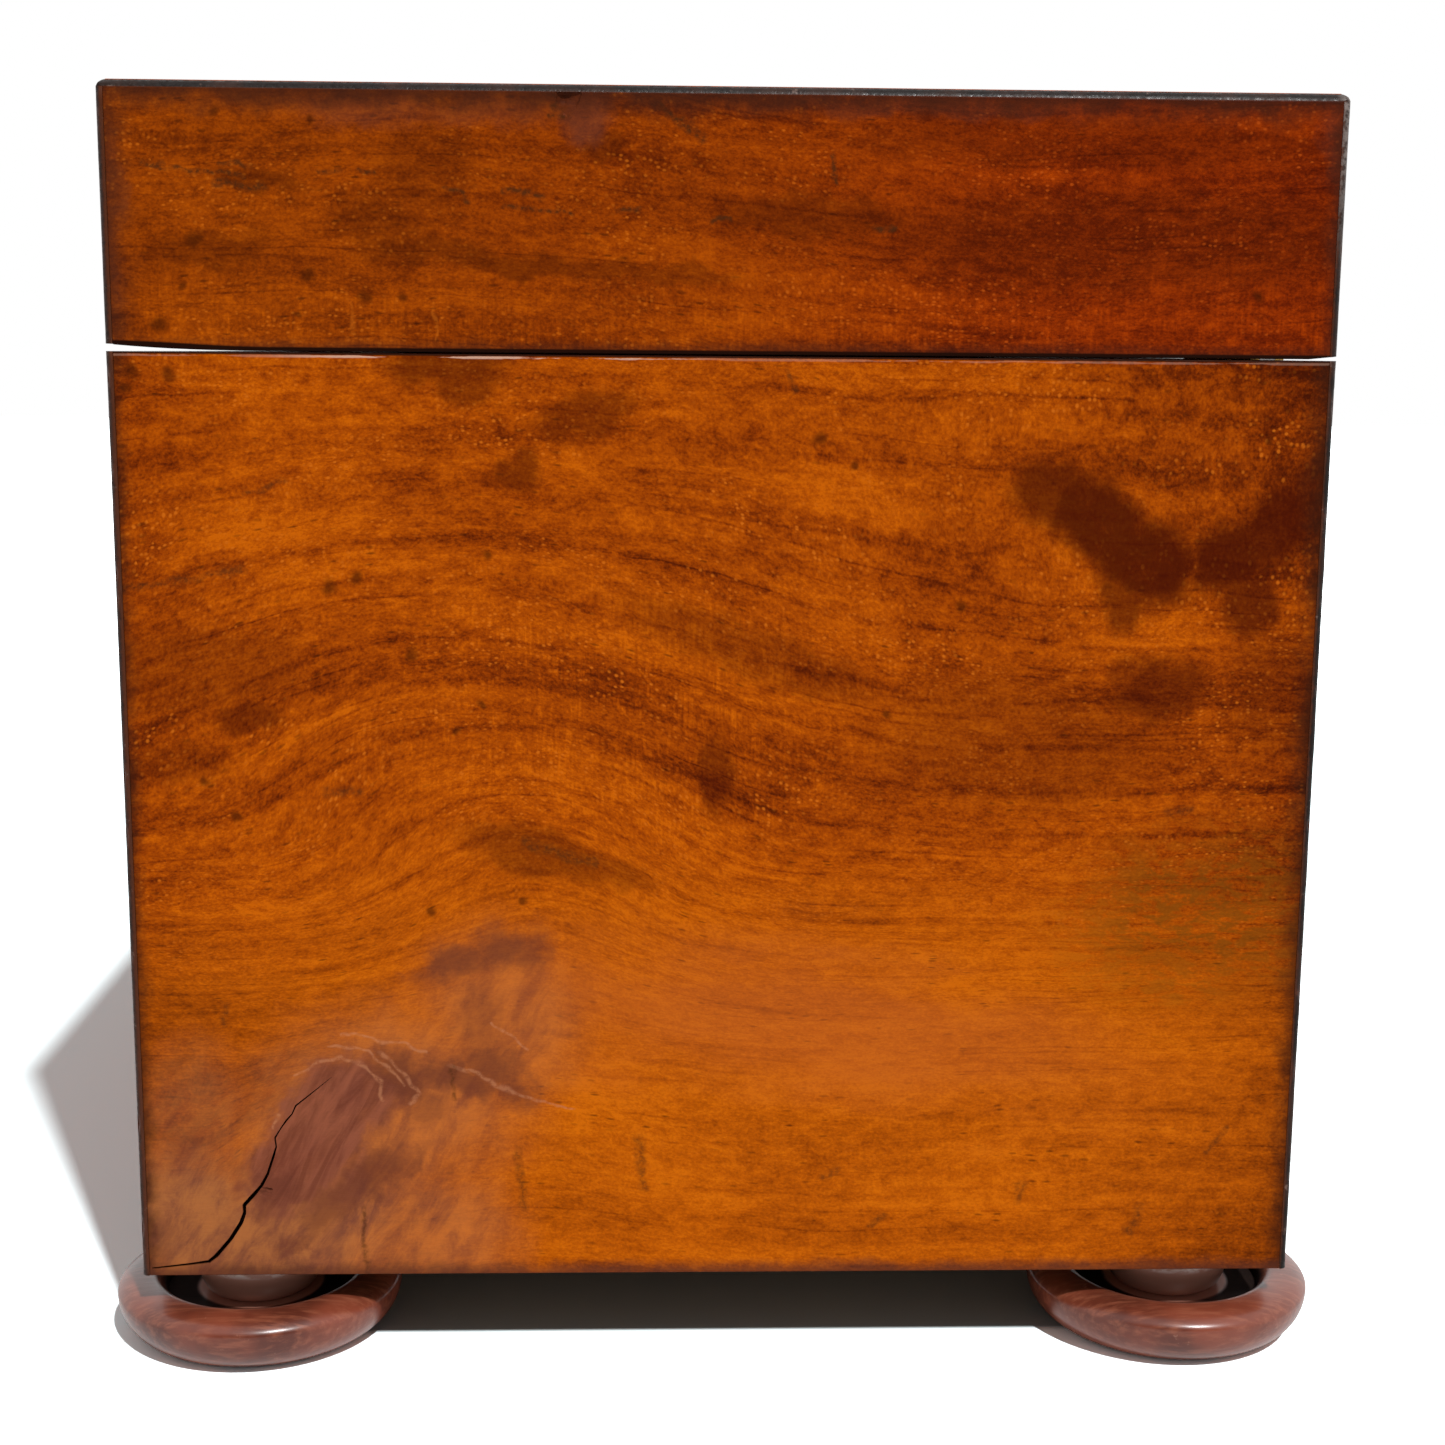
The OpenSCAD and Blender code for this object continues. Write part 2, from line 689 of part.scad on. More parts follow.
module left_inner_lid() { inner_lid(-1); }
module right_inner_lid() { inner_lid(1); }
module left_inner_lid_knob() { knob(-1); }
module right_inner_lid_knob() { knob(1); }

// ---- lid ----
// Wood worn off the lower edges of the lid, at the front and the back
module rim_wear() {
    translate([-half_length - eps, 0, 0]) rotate([90, 0, 90]) linear_extrude(case_length + 2 * eps) {
        worn_corner(-1, front_wear_rise, front_wear_run);
        worn_corner(1, back_wear_rise, back_wear_run);
    }
}

module worn_corner(side, rise, run) {
    polygon([
        [side * (half_depth - run), lid_rim - eps],
        [side * (half_depth - run), lid_rim],
        [side * (half_depth + eps), lid_rim + rise + eps * rise / run],
        [side * (half_depth + eps), lid_rim - eps]
    ]);
}

module lid_wall(turn, half_along, half_across) {
    difference() {
        wall(turn, half_along, half_across, lid_rim, string_top);
        corner_rebates(lid_rim, string_top);
        rim_wear();
        top_panel_tongue();
    }
}

module top_panel_tongue() {
    block(2 * inner_half_length, 2 * inner_half_depth, top_panel_underside, lid_top);
}

module lid_front_rail() {
    color(wood) difference() {
        lid_wall(0, half_length, half_depth);
        translate([0, 0, -eps]) link_plate_blank(link_length);
        link_plate_blank(link_length);
        place_link_screws() screw_hole();
    }
}

module lid_back_rail() {
    color(wood) difference() {
        lid_wall(180, half_length, half_depth);
        for (side = [-1, 1]) hinge_space(side, lid_rim - eps, lid_rim + hinge_leaf_thickness);
        place_lid_hinge_screws() screw_hole();
    }
}

module lid_left_rail() { color(wood) lid_wall(-90, half_depth, half_length); }
module lid_right_rail() { color(wood) lid_wall(90, half_depth, half_length); }

// The tongue drops between the rails, and a thin lip laps over them as far as the strings
module lid_top_panel() {
    color(wood) {
        top_panel_tongue();
        block(2 * (half_length - string_width), 2 * (half_depth - string_width), string_top, lid_top);
    }
}

module lid_string(side_x, side_y) {
    color(ebonised) difference() {
        corner_string(side_x, side_y, lid_rim, string_top);
        rim_wear();
    }
}

module lid_string_front_left() { lid_string(-1, -1); }
module lid_string_front_right() { lid_string(1, -1); }
module lid_string_back_left() { lid_string(-1, 1); }
module lid_string_back_right() { lid_string(1, 1); }

// Plan of the lid with its corners worn round
module rounded_plan() {
    square([case_length, case_depth - 2 * string_round], center = true);
    square([case_length - 2 * string_round, case_depth], center = true);
    for (side_x = [-1, 1], side_y = [-1, 1])
        translate([side_x * (half_length - string_round), side_y * (half_depth - string_round)])
            circle(string_round);
}

// String along one top edge, mitred at the corners and rounded on its outer edge
module edge_string(turn, half_along, half_across) {
    color(ebonised) intersection() {
        rotate([0, 0, turn]) translate([-half_along, -half_across, 0]) intersection() {
            rotate([90, 0, 90]) linear_extrude(2 * half_along)
                translate([string_width, string_top]) mirror([1, 0]) string_section();
            translate([0, 0, string_top - eps]) linear_extrude(string_width + 2 * eps) polygon([
                [0, 0], [2 * half_along, 0],
                [2 * half_along - string_width, string_width], [string_width, string_width]
            ]);
        }
        translate([0, 0, string_top - eps]) linear_extrude(string_width + 2 * eps) rounded_plan();
    }
}

module lid_edge_string_front() { edge_string(0, half_length, half_depth); }
module lid_edge_string_back() { edge_string(180, half_length, half_depth); }
module lid_edge_string_left() { edge_string(-90, half_depth, half_length); }
module lid_edge_string_right() { edge_string(90, half_depth, half_length); }

module lid_lining() {
    color(velvet) block(2 * (inner_half_length - lid_lining_gap), 2 * (inner_half_depth - lid_lining_gap),
        top_panel_underside - lid_lining_thickness, top_panel_underside);
}

front_board();
back_board();
left_end_board();
right_end_board();
base_board();
case_string_front_left();
case_string_front_right();
case_string_back_left();
case_string_back_right();
foot_front_left();
foot_front_right();
foot_back_left();
foot_back_right();
front_lining();
back_lining();
left_end_lining();
right_end_lining();
partition();
lid_top_panel();
lid_front_rail();
lid_back_rail();
lid_left_rail();
lid_right_rail();
lid_string_front_left();
lid_string_front_right();
lid_string_back_left();
lid_string_back_right();
lid_edge_string_front();
lid_edge_string_back();
lid_edge_string_left();
lid_edge_string_right();
lid_lining();
left_inner_lid();
right_inner_lid();
left_inner_lid_knob();
right_inner_lid_knob();
left_hinge_case_leaf();
right_hinge_case_leaf();
left_hinge_lid_leaf();
right_hinge_lid_leaf();
left_hinge_pin();
right_hinge_pin();
case_hinge_screws();
lid_hinge_screws();
lock_plate();
lock_box();
lock_bolt();
lock_spring();
key_pin();
lock_screws();
keyhole_escutcheon();
link_plate();
link_staple();
link_screws();
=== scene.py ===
import math

import bmesh
import bpy
from mathutils import Matrix, Vector, noise


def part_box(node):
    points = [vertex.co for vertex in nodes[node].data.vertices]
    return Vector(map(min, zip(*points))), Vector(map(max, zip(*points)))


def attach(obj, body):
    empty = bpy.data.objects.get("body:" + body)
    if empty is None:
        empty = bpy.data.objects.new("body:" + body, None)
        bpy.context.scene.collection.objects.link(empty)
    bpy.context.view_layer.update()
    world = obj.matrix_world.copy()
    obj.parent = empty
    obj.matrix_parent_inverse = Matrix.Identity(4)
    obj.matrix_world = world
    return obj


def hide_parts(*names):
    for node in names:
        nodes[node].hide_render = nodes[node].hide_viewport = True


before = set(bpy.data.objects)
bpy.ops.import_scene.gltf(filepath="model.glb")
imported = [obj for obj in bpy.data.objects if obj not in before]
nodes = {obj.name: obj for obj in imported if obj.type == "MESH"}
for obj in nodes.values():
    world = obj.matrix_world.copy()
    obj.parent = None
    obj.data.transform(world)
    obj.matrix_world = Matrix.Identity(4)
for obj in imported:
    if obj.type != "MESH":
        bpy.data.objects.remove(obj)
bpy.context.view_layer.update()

mm = 0.001
# main sizes and levels of the caddy in millimetres
halfLength, halfDepth, stringWidth = 107.5, 62.5, 0.8
footHeight, caseTop, lidLow, lidTop = 10.0, 108.6, 108.75, 135.1
footX, footY = 96.7, 51.7
print("caddy: frame loaded,", len(nodes), "parts")


class Wiring:
    # adds nodes to one tree; a value is a number, a tuple or another node's socket

    def __init__(self, tree):
        self.tree = tree

    def node(self, kind, **settings):
        made = self.tree.nodes.new(kind)
        for name, value in settings.items():
            setattr(made, name, value)
        return made

    def feed(self, made, values):
        # links or sets the inputs of a node, each by its name or number
        for name, value in values.items():
            if isinstance(value, bpy.types.NodeSocket):
                self.tree.links.new(value, made.inputs[name])
            elif value is not None:
                made.inputs[name].default_value = value
        return made

    def give(self, output, values):
        # links the results of a group to its output sockets
        for name, value in values.items():
            self.tree.links.new(value, output[name])

    def made(self, kind, values, **settings):
        return self.feed(self.node(kind, **settings), values).outputs

    def math(self, operation, first, second=None, clamp=False):
        return self.made("ShaderNodeMath", {0: first, 1: second}, operation=operation, use_clamp=clamp)[0]

    def join(self, operation, first, *others):
        for other in others:
            first = self.math(operation, first, other)
        return first

    def add(self, *values):
        return self.join("ADD", *values)

    def times(self, *values):
        return self.join("MULTIPLY", *values)

    def most(self, *values):
        return self.join("MAXIMUM", *values)

    def take(self, first, second):
        return self.math("SUBTRACT", first, second)

    def over(self, first, second):
        return self.math("DIVIDE", first, second)

    def apart(self, value, middle=0.0):
        # how far a value is from a middle, to either side
        return self.math("ABSOLUTE", self.take(value, middle) if middle else value)

    def length(self, *parts):
        return self.math("SQRT", self.add(*[self.times(part, part) for part in parts]))

    def sway(self, value, amount):
        # a noise about 0.5 turned into a swing of the given size about zero
        return self.times(self.take(value, 0.5), amount)

    def vector(self, x, y, z):
        return self.made("ShaderNodeCombineXYZ", {0: x, 1: y, 2: z})[0]

    def split(self, value):
        return self.made("ShaderNodeSeparateXYZ", {0: value})

    def shift(self, operation, first, second):
        values = {0: first, 3 if operation == "SCALE" else 1: second}
        made = self.made("ShaderNodeVectorMath", values, operation=operation)
        return made["Value" if operation == "DOT_PRODUCT" else "Vector"]

    def stretch(self, parts, steps):
        # a place whose parts are each divided by a step, so that a noise there is drawn out
        return self.vector(*[self.over(part, step) for part, step in zip(parts, steps)])

    def noise(self, place, scale=1.0, detail=2.0, roughness=0.5, twist=0.0):
        return self.made("ShaderNodeTexNoise", {"Vector": place, "Scale": scale, "Detail": detail,
                                                "Roughness": roughness, "Distortion": twist})["Fac"]

    def cells(self, place):
        made = self.made("ShaderNodeTexVoronoi", {"Vector": place, "Scale": 1.0})
        return made["Distance"], self.split(made["Color"])[0]

    def ramp(self, value, low, high, start=0.0, end=1.0, smooth=True):
        return self.made("ShaderNodeMapRange", {"Value": value, "From Min": low, "From Max": high,
                                                "To Min": start, "To Max": end},
                         interpolation_type="SMOOTHSTEP" if smooth else "LINEAR")[0]

    def mix(self, factor, first, second):
        return self.made("ShaderNodeMix", {0: factor, 2: first, 3: second}, data_type="FLOAT")[0]

    def tint(self, factor, first, second, blend="MIX"):
        return self.made("ShaderNodeMix", {0: factor, 6: paint(first), 7: paint(second)}, data_type="RGBA",
                         blend_type=blend)[2]

    def layered(self, colour, *layers):
        # lays colours over the first; each layer is a mask, its strength and its colour
        for mask, strength, laid in layers:
            colour = self.tint(self.times(mask, strength), colour, laid)
        return colour

    def scale(self, value, stops):
        # colours at set positions from 0 to 1, with straight blends between them
        made = self.node("ShaderNodeValToRGB")
        elements = made.color_ramp.elements
        elements.remove(elements[1])
        elements[0].position, elements[0].color = stops[0][0], paint(stops[0][1])
        for position, colour in stops[1:]:
            elements.new(position).color = paint(colour)
        return self.feed(made, {0: value}).outputs["Color"]

    def profile(self, value, low, high, stops):
        # numbers at set levels from low to high, such as lightness up a board
        grey = [((level - low) / (high - low), (number, number, number)) for level, number in stops]
        return self.scale(self.ramp(value, low, high, smooth=False), grey)

    def use(self, group, **values):
        made = self.node("ShaderNodeGroup")
        made.node_tree = group
        return self.feed(made, values).outputs

    def bump(self, height, distance):
        return self.made("ShaderNodeBump", {"Height": height, "Distance": distance, "Strength": 1.0})[0]


def paint(value):
    return (*value, 1.0) if isinstance(value, tuple) and len(value) == 3 else value


def shaderGroup(name, takes, gives):
    tree = bpy.data.node_groups.new(name, "ShaderNodeTree")
    for label, value in takes.items():
        kind = "NodeSocketVector" if isinstance(value, tuple) else "NodeSocketFloat"
        tree.interface.new_socket(label, in_out="INPUT", socket_type=kind).default_value = value
    for label in gives:
        tree.interface.new_socket(label, in_out="OUTPUT", socket_type="NodeSocketFloat")
    wiring = Wiring(tree)
    return tree, wiring, wiring.node("NodeGroupInput").outputs, wiring.node("NodeGroupOutput").inputs


def newMaterial(name):
    material = bpy.data.materials.new(name)
    material.use_nodes = True
    return material, Wiring(material.node_tree), material.node_tree.nodes["Principled BSDF"]


def objectPlace(w):
    return w.node("ShaderNodeTexCoord").outputs["Object"]


def placeInMm(w):
    return w.shift("SCALE", objectPlace(w), 1 / mm)


def makeGrain():
    # all lengths in millimetres: Along runs with the fibres, Ring across the year rings
    tree, w, taken, given = shaderGroup(
        "woodGrain",
        {"Along": 0.0, "Ring": 0.0, "Depth": 0.0, "Seed": 0.0},
        ("Band", "Line", "Streak", "Mottle", "Speck", "Fleck", "Pore", "Comb", "Cloud"))
    along = w.add(taken["Along"], w.times(taken["Seed"], 173.0))
    ring, depth = taken["Ring"], taken["Depth"]

    def figure(alongStep, ringStep, depthStep, **settings):
        return w.noise(w.stretch((along, ring, depth), (alongStep, ringStep, depthStep)), **settings)

    def dots(steps, wide, narrow, low, crowd):
        # small cells: their size falls from wide to narrow, and low picks which of them show
        away, pick = w.cells(w.stretch((along, ring, depth), steps))
        return w.times(w.ramp(away, wide, narrow), w.ramp(pick, low, 0.80), crowd)

    ring = w.add(ring, w.sway(figure(18, 6, 9, detail=3.0), 2.2))
    ridge = w.apart(figure(90, 2.2, 9, detail=1.0), 0.5)
    patchy = w.ramp(figure(18, 3.2, 9, detail=3.0), 0.44, 0.62)
    crowd = w.ramp(figure(13, 7, 12, detail=3.0), 0.40, 0.62)
    sparse = w.ramp(figure(15, 6, 12, scale=1.3, detail=3.0), 0.42, 0.64)
    w.give(given, {
        "Band": figure(70, 3.4, 14, detail=4.0, roughness=0.62),
        "Line": w.times(w.ramp(ridge, 0.040, 0.0), patchy),
        "Streak": figure(3.0, 0.52, 1.4, detail=4.0, roughness=0.66),
        "Mottle": figure(2.3, 1.35, 2.0, detail=5.0, roughness=0.72, twist=0.5),
        "Speck": figure(0.34, 0.26, 0.3, detail=2.0, roughness=0.6),
        "Fleck": dots((0.62, 0.42, 0.6), 0.46, 0.12, 0.40, crowd),
        "Pore": dots((1.9, 0.50, 1.0), 0.36, 0.10, 0.62, sparse),
        "Comb": figure(0.36, 3.6, 2.0, detail=2.0, roughness=0.6),
        "Cloud": figure(17, 7.5, 14, detail=4.0, roughness=0.58),
    })
    return tree


def makeStain():
    # a soft oval blot
    tree, w, taken, given = shaderGroup(
        "softStain",
        {"Along": 0.0, "Across": 0.0, "Centre": (0.0, 0.0, 0.0), "Half": (1.0, 1.0, 0.0), "Turn": 0.0,
         "Softness": 0.3},
        ("Mask",))
    centre, half = w.split(taken["Centre"]), w.split(taken["Half"])
    a, b = w.take(taken["Along"], centre[0]), w.take(taken["Across"], centre[1])
    cosine, sine = w.math("COSINE", taken["Turn"]), w.math("SINE", taken["Turn"])
    u = w.over(w.add(w.times(a, cosine), w.times(b, sine)), half[0])
    v = w.over(w.take(w.times(b, cosine), w.times(a, sine)), half[1])
    rim, soft = w.add(1.0, taken["Softness"]), w.take(1.0, taken["Softness"])
    w.give(given, {"Mask": w.ramp(w.length(u, v), rim, soft)})
    return tree


def makeStroke():
    # a stroke between two points, fading to its ends
    tree, w, taken, given = shaderGroup(
        "thinStroke",
        {"Along": 0.0, "Across": 0.0, "From": (0.0, 0.0, 0.0), "To": (1.0, 0.0, 0.0), "Width": 0.2},
        ("Mask",))
    start, end = w.split(taken["From"]), w.split(taken["To"])
    a, b = w.take(taken["Along"], start[0]), w.take(taken["Across"], start[1])
    runA, runB = w.take(end[0], start[0]), w.take(end[1], start[1])
    square = w.add(w.times(runA, runA), w.times(runB, runB))
    share = w.math("DIVIDE", w.add(w.times(a, runA), w.times(b, runB)), square, clamp=True)
    away = w.length(w.take(a, w.times(runA, share)), w.take(b, w.times(runB, share)))
    w.give(given, {"Mask": w.ramp(w.over(away, taken["Width"]), 1.35, 0.15)})
    return tree


def makeEdgeWear():
    # a broken band along one level of a value, such as an arris
    tree, w, taken, given = shaderGroup(
        "edgeWear",
        {"Value": 0.0, "Edge": 0.0, "Width": 0.3, "Place": (0.0, 0.0, 0.0), "Cover": 0.5},
        ("Mask",))
    broken = w.noise(taken["Place"], detail=4.0, roughness=0.6)
    away = w.math("ABSOLUTE", w.take(taken["Value"], taken["Edge"]))
    cover = w.ramp(broken, w.take(1.0, taken["Cover"]), w.take(1.15, taken["Cover"]))
    width = w.times(taken["Width"], cover)
    w.give(given, {"Mask": w.ramp(away, width, w.times(width, 0.3))})
    return tree


woodGrain = makeGrain()
softStain = makeStain()
thinStroke = makeStroke()
edgeWear = makeEdgeWear()
print("caddy: shared effects ready")


timber = {
    # from dark to light, and the same for the yellower heartwood
    "amber": [(0.0, (0.062, 0.0070, 0.0008)), (0.25, (0.145, 0.0185, 0.0008)), (0.5, (0.285, 0.0430, 0.0008)),
              (0.75, (0.430, 0.0760, 0.0010)), (1.0, (0.580, 0.1180, 0.0016))],
    "gold": [(0.0, (0.080, 0.0130, 0.0010)), (0.25, (0.180, 0.0310, 0.0010)), (0.5, (0.320, 0.0590, 0.0011)),
             (0.75, (0.480, 0.0970, 0.0016)), (1.0, (0.620, 0.1420, 0.0026))],
    "fleck": (0.640, 0.150, 0.0080),
    "pore": (0.050, 0.0085, 0.0010),
    "stain": (0.060, 0.0050, 0.0008),
    "purple": (0.128, 0.034, 0.019),
    "scratch": (0.060, 0.0190, 0.0050),
    # polish rubbed through at the case's rim, also a painted highlight along its arris
    "rubbed": (0.640, 0.380, 0.270),
    "salmon": (0.480, 0.105, 0.018),
    "green": (0.150, 0.048, 0.003),
    "faded": ((0.500, 0.150, 0.036), (0.400, 0.138, 0.042)),  # from the middle out to the corner
    "smoke": (0.195, 0.062, 0.034),
    "knot": ((0.150, 0.040, 0.023), (0.275, 0.083, 0.045)),
    "scar": (0.560, 0.230, 0.110),
    "dirt": (0.035, 0.0095, 0.0040),
    "lowDirt": (0.085, 0.026, 0.016),
    "rimLine": (0.030, 0.0075, 0.0030),
    # painted shade inside the crack
    "crack": (0.012, 0.0035, 0.0015),
    "lidStain": (0.060, 0.0085, 0.0008),
    "lidPurple": (0.120, 0.032, 0.017),
    "lidDirt": (0.045, 0.0125, 0.0062),
    "lidLine": (0.014, 0.0040, 0.0020),
    "bumpDepth": 0.00004,
    "roughness": 0.42,
    "polish": (0.006, 0.6),  # face on and along the surface
    "polishRoughness": 0.14,
    "specular": 0.015,
}

# marks of the right end, each place in millimetres from the middle of the end and from the floor
endMarks = {
    "stains": [  # centre, half sizes, turn in degrees, strength
        ((33.6, 95), (4.6, 3.6), -20, 0.8), ((38.4, 92), (6.4, 4.2), -38, 0.95),
        ((43.6, 88), (5.8, 4.4), -30, 0.95), ((41.4, 83.6), (2.2, 3.6), 10, 0.7),
        ((52.4, 88.2), (4, 3.8), 20, 0.9), ((56.8, 91.4), (3.6, 5.2), -40, 0.85),
        ((60.8, 95), (2.8, 5.4), -25, 0.6), ((54.6, 83.4), (2.6, 3.6), 5, 0.75),
        ((45.6, 74.4), (5.4, 3), 14, 0.65), ((43, 76.2), (3.4, 2), -10, 0.45),
        ((-28.2, 107.6), (5.8, 2.4), 0, 0.65), ((-26.6, 105.4), (2.8, 2.2), 0, 0.55),
        ((-14.6, 102.4), (5.4, 2.2), 14, 0.55), ((-21.2, 97), (2.4, 1.9), 30, 0.6),
        ((-0.9, 65.4), (2, 3.8), 8, 0.6), ((-49.4, 71.3), (3.4, 1.7), 10, 0.55),
        ((-19.4, 56.8), (7.6, 2.4), -14, 0.5), ((-12, 55.2), (4.4, 1.5), -24, 0.4),
        ((58, 74), (5, 7), 0, 0.35), ((31, 69), (15, 7), -4, 0.32),
        ((-55, 76), (12, 4.4), 4, 0.32), ((3, 78.4), (14, 2.6), -20, 0.35),
        ((-57, 66.5), (6, 2.2), 0, 0.3),
    ],
    "spots": [  # centre, radius
        ((-60.2, 106.7), 0.8), ((-55.9, 106.3), 0.75), ((9.6, 100.4), 0.65), ((55.9, 100.5), 0.45),
        ((-40.6, 84.9), 0.75), ((-24.4, 88.4), 0.5), ((-32.2, 78), 0.7), ((13, 97.6), 0.4),
        ((24.5, 83.2), 0.5), ((17, 71.8), 0.4), ((-30.5, 50.6), 0.45), ((-20.9, 51.8), 0.4),
        ((-38, 86), 0.7), ((-27.9, 70.1), 0.4), ((-25.2, 72.8), 0.35), ((-60.5, 104.8), 0.5),
        ((-54, 64.5), 0.5), ((-50.6, 60.9), 0.5),
    ],
    "strokes": [  # from, to, half width
        ((-48.9, 94.3), (-44.8, 95.8), 0.2), ((-41.2, 63.6), (-38.3, 63.4), 0.42),
        ((47.2, 61.4), (49.4, 61.7), 0.42), ((-52.5, 40.5), (-52.6, 38.4), 0.28),
        ((-8.9, 25.4), (-8.4, 20), 0.42), ((-21.7, 24), (-21, 17.6), 0.34),
        ((-38.5, 17.8), (-38.2, 10.2), 0.24),
        ((-28.6, 33.8), (-28.6, 29.8), 0.2), ((45, 14.6), (46, 17.4), 0.45),
        ((32.4, 18.3), (33.4, 20), 0.4), ((16.7, 15.3), (17.8, 16.2), 0.35),
        ((53.2, 23.4), (54.8, 26.6), 0.3), ((11.2, 21), (12.6, 21.6), 0.35),
        ((6.2, 107.4), (6.9, 105.2), 0.25),
        ((-61.5, 84.6), (-49.6, 86.7), 0.34), ((-20.6, 57.9), (-13.6, 55.9), 0.5),
    ],
    "rings": [79.6, 84.4, 75.2, 90.2, 70.4, 65, 58.6],  # levels of the darkest year rings at their crest
    "pale": [  # chains of points, each with the half width of the stroke that leads on from it
        [(-28.9, 33.8, 0.2), (-26.1, 32.8, 0.22), (-22.4, 30.5, 0.16), (-19.2, 29.5, 0.12), (-15.8, 28.8, 0)],
        [(-40.4, 37.2, 0.14), (-34.8, 36.2, 0.12), (-31.7, 35.1, 0)],
        [(-45.5, 32.5, 0.14), (-42.9, 34.1, 0.18), (-40.4, 34.6, 0.18), (-38, 33.5, 0.16),
         (-36.4, 31.8, 0.14), (-36, 29.9, 0)],
        [(-36.4, 35.4, 0.16), (-34.8, 33.5, 0.16), (-33.3, 31.8, 0.14), (-32.2, 30.5, 0.14), (-33, 29.5, 0)],
        [(-47.9, 26.6, 0.16), (-47.4, 28, 0)], [(-24.4, 38.5, 0.12), (-20.6, 35.4, 0)],
        [(-41.6, 35.8, 0.12), (-37.6, 35.3, 0.12), (-35.6, 33.4, 0.12), (-33.9, 31.4, 0)],
    ],
    "knot": [  # blots that make up the knot
        ((-42.6, 27), (8.4, 4.7), 62, 1), ((-45.6, 22.4), (5.6, 4.6), 60, 1),
        ((-38.8, 30.6), (4.4, 3.4), -50, 0.9), ((-47.6, 19), (3.6, 3), 40, 0.75),
        ((-40.4, 22), (2.8, 4), 0, 0.7),
    ],
    "purple": [  # darker smudges round it
        ((-28.6, 45), (4.2, 1.5), 16, 0.85), ((-23.4, 46.6), (3.6, 2.2), 14, 0.9),
        ((-20, 46.6), (1.9, 2.6), -20, 0.75), ((-34.2, 32.4), (3, 2.6), -48, 0.95),
        ((-28, 32.2), (5, 1.9), -14, 0.9), ((-24.6, 33.6), (3, 2.3), -20, 0.85),
        ((-22, 30.9), (2.6, 1.7), -24, 0.8), ((-25.4, 38.4), (2.8, 4), 10, 0.42),
        ((-31.4, 29), (2, 1.7), 0, 0.5), ((-37.4, 21.4), (4, 2), 42, 0.85),
        ((-41.6, 18), (4.6, 1.6), 40, 0.75), ((-47.8, 20), (2.2, 2), 0, 0.75),
        ((-33.6, 22.2), (3, 0.8), 52, 0.6), ((-56, 25), (3.2, 1.4), 20, 0.35),
        ((-60, 14), (1.6, 3.4), 0, 0.4), ((-44.8, 14.2), (3.6, 0.9), 34, 0.5),
    ],
    "haze": [  # pinkish faded wood round the knot, and the corner below it
        ((-37, 28), (15, 10), 20, 0.8), ((-47, 15), (17, 9), 18, 1),
        ((-24, 38), (8, 9), 0, 0.6), ((-57, 16), (8, 9), 0, 1),
        ((-32, 15), (9, 7), 0, 0.75), ((-56, 27), (6, 8), 0, 0.5),
    ],
}

lidMarks = {
    "stains": [
        ((-30, 118.6), (7, 1.5), -2, 0.5), ((-21, 117.6), (8, 1.2), -6, 0.58),
        ((-8, 116.8), (9, 1.1), -2, 0.45), ((-51.6, 118.6), (5.6, 1.9), 6, 0.4),
        ((-47, 125.4), (4.4, 1), -4, 0.55), ((-12.2, 129.2), (2.2, 1.3), 8, 0.5),
        ((9, 122.4), (10, 2.2), -3, 0.5), ((40, 120.5), (24, 5), 0, 0.35),
        ((-34.6, 121), (5, 3), -20, 0.4), ((-30, 126.4), (5, 4.6), 0, 0.3),
        ((36, 130), (24, 2.6), 0, 0.3),
    ],
    "spots": [
        ((-50.8, 132), 0.55), ((-41.8, 116.2), 0.62), ((-36.3, 114.1), 0.62), ((-56.9, 111.3), 0.72),
        ((-54.3, 115.2), 0.35), ((-32.6, 114.2), 0.45), ((54, 115), 0.6), ((-42.9, 112.2), 0.35),
        ((-41.6, 131.2), 0.4), ((-53.4, 119.6), 0.8),
    ],
    "strokes": [
        ((-17.4, 134.4), (-16.9, 132.1), 0.5), ((-17.8, 131.9), (-16.2, 131.8), 0.22),
        ((-7.2, 133.2), (-2.6, 130), 0.34), ((-56.5, 126.6), (-48, 126), 0.2),
        ((-51, 125.2), (-46.4, 124.8), 0.34), ((-50.4, 127), (-47.4, 127), 0.22),
        ((-22.2, 124.6), (-19, 124.2), 0.24), ((-22.2, 123.2), (-19.4, 122.9), 0.22),
        ((-18.8, 122.9), (-15.6, 122.4), 0.18), ((-28.4, 124.8), (-26.6, 124.5), 0.18),
        ((-26.6, 124.5), (-26, 123.6), 0.18), ((-11, 122.9), (-9, 122.8), 0.26),
        ((-1.6, 121.9), (0.2, 122), 0.26), ((15, 121.4), (17, 121.4), 0.26),
        ((10.2, 128.6), (10.8, 125.8), 0.22), ((-40.5, 126.4), (-38.6, 126.3), 0.26),
        ((-37, 126.5), (-35.2, 126.4), 0.2), ((-57.8, 127), (-56.2, 127), 0.3),
    ],
    "pale": [[(-38, 114, 0.16), (-37.6, 110.6, 0)], [(-29.4, 113.6, 0.12), (-29.2, 110, 0)]],
    "knot": [],
    "purple": [
        ((-36, 132.4), (7, 1.7), 0, 0.6), ((-24, 132.4), (7, 1.5), 0, 0.5),
        ((-14.2, 131.8), (2.4, 2.4), 10, 0.9), ((20, 133.4), (16, 1), 0, 0.45),
        ((61.4, 130.6), (1.6, 4.2), 0, 0.6), ((-61.6, 121), (1.3, 8), 0, 0.5),
    ],
    "haze": [],
}


def blot(w, along, across, centre, half, turn=0.0, softness=0.3):
    return w.use(softStain, Along=along, Across=across, Centre=(*centre, 0.0), Half=(*half, 0.0), Turn=turn,
                 Softness=softness)["Mask"]


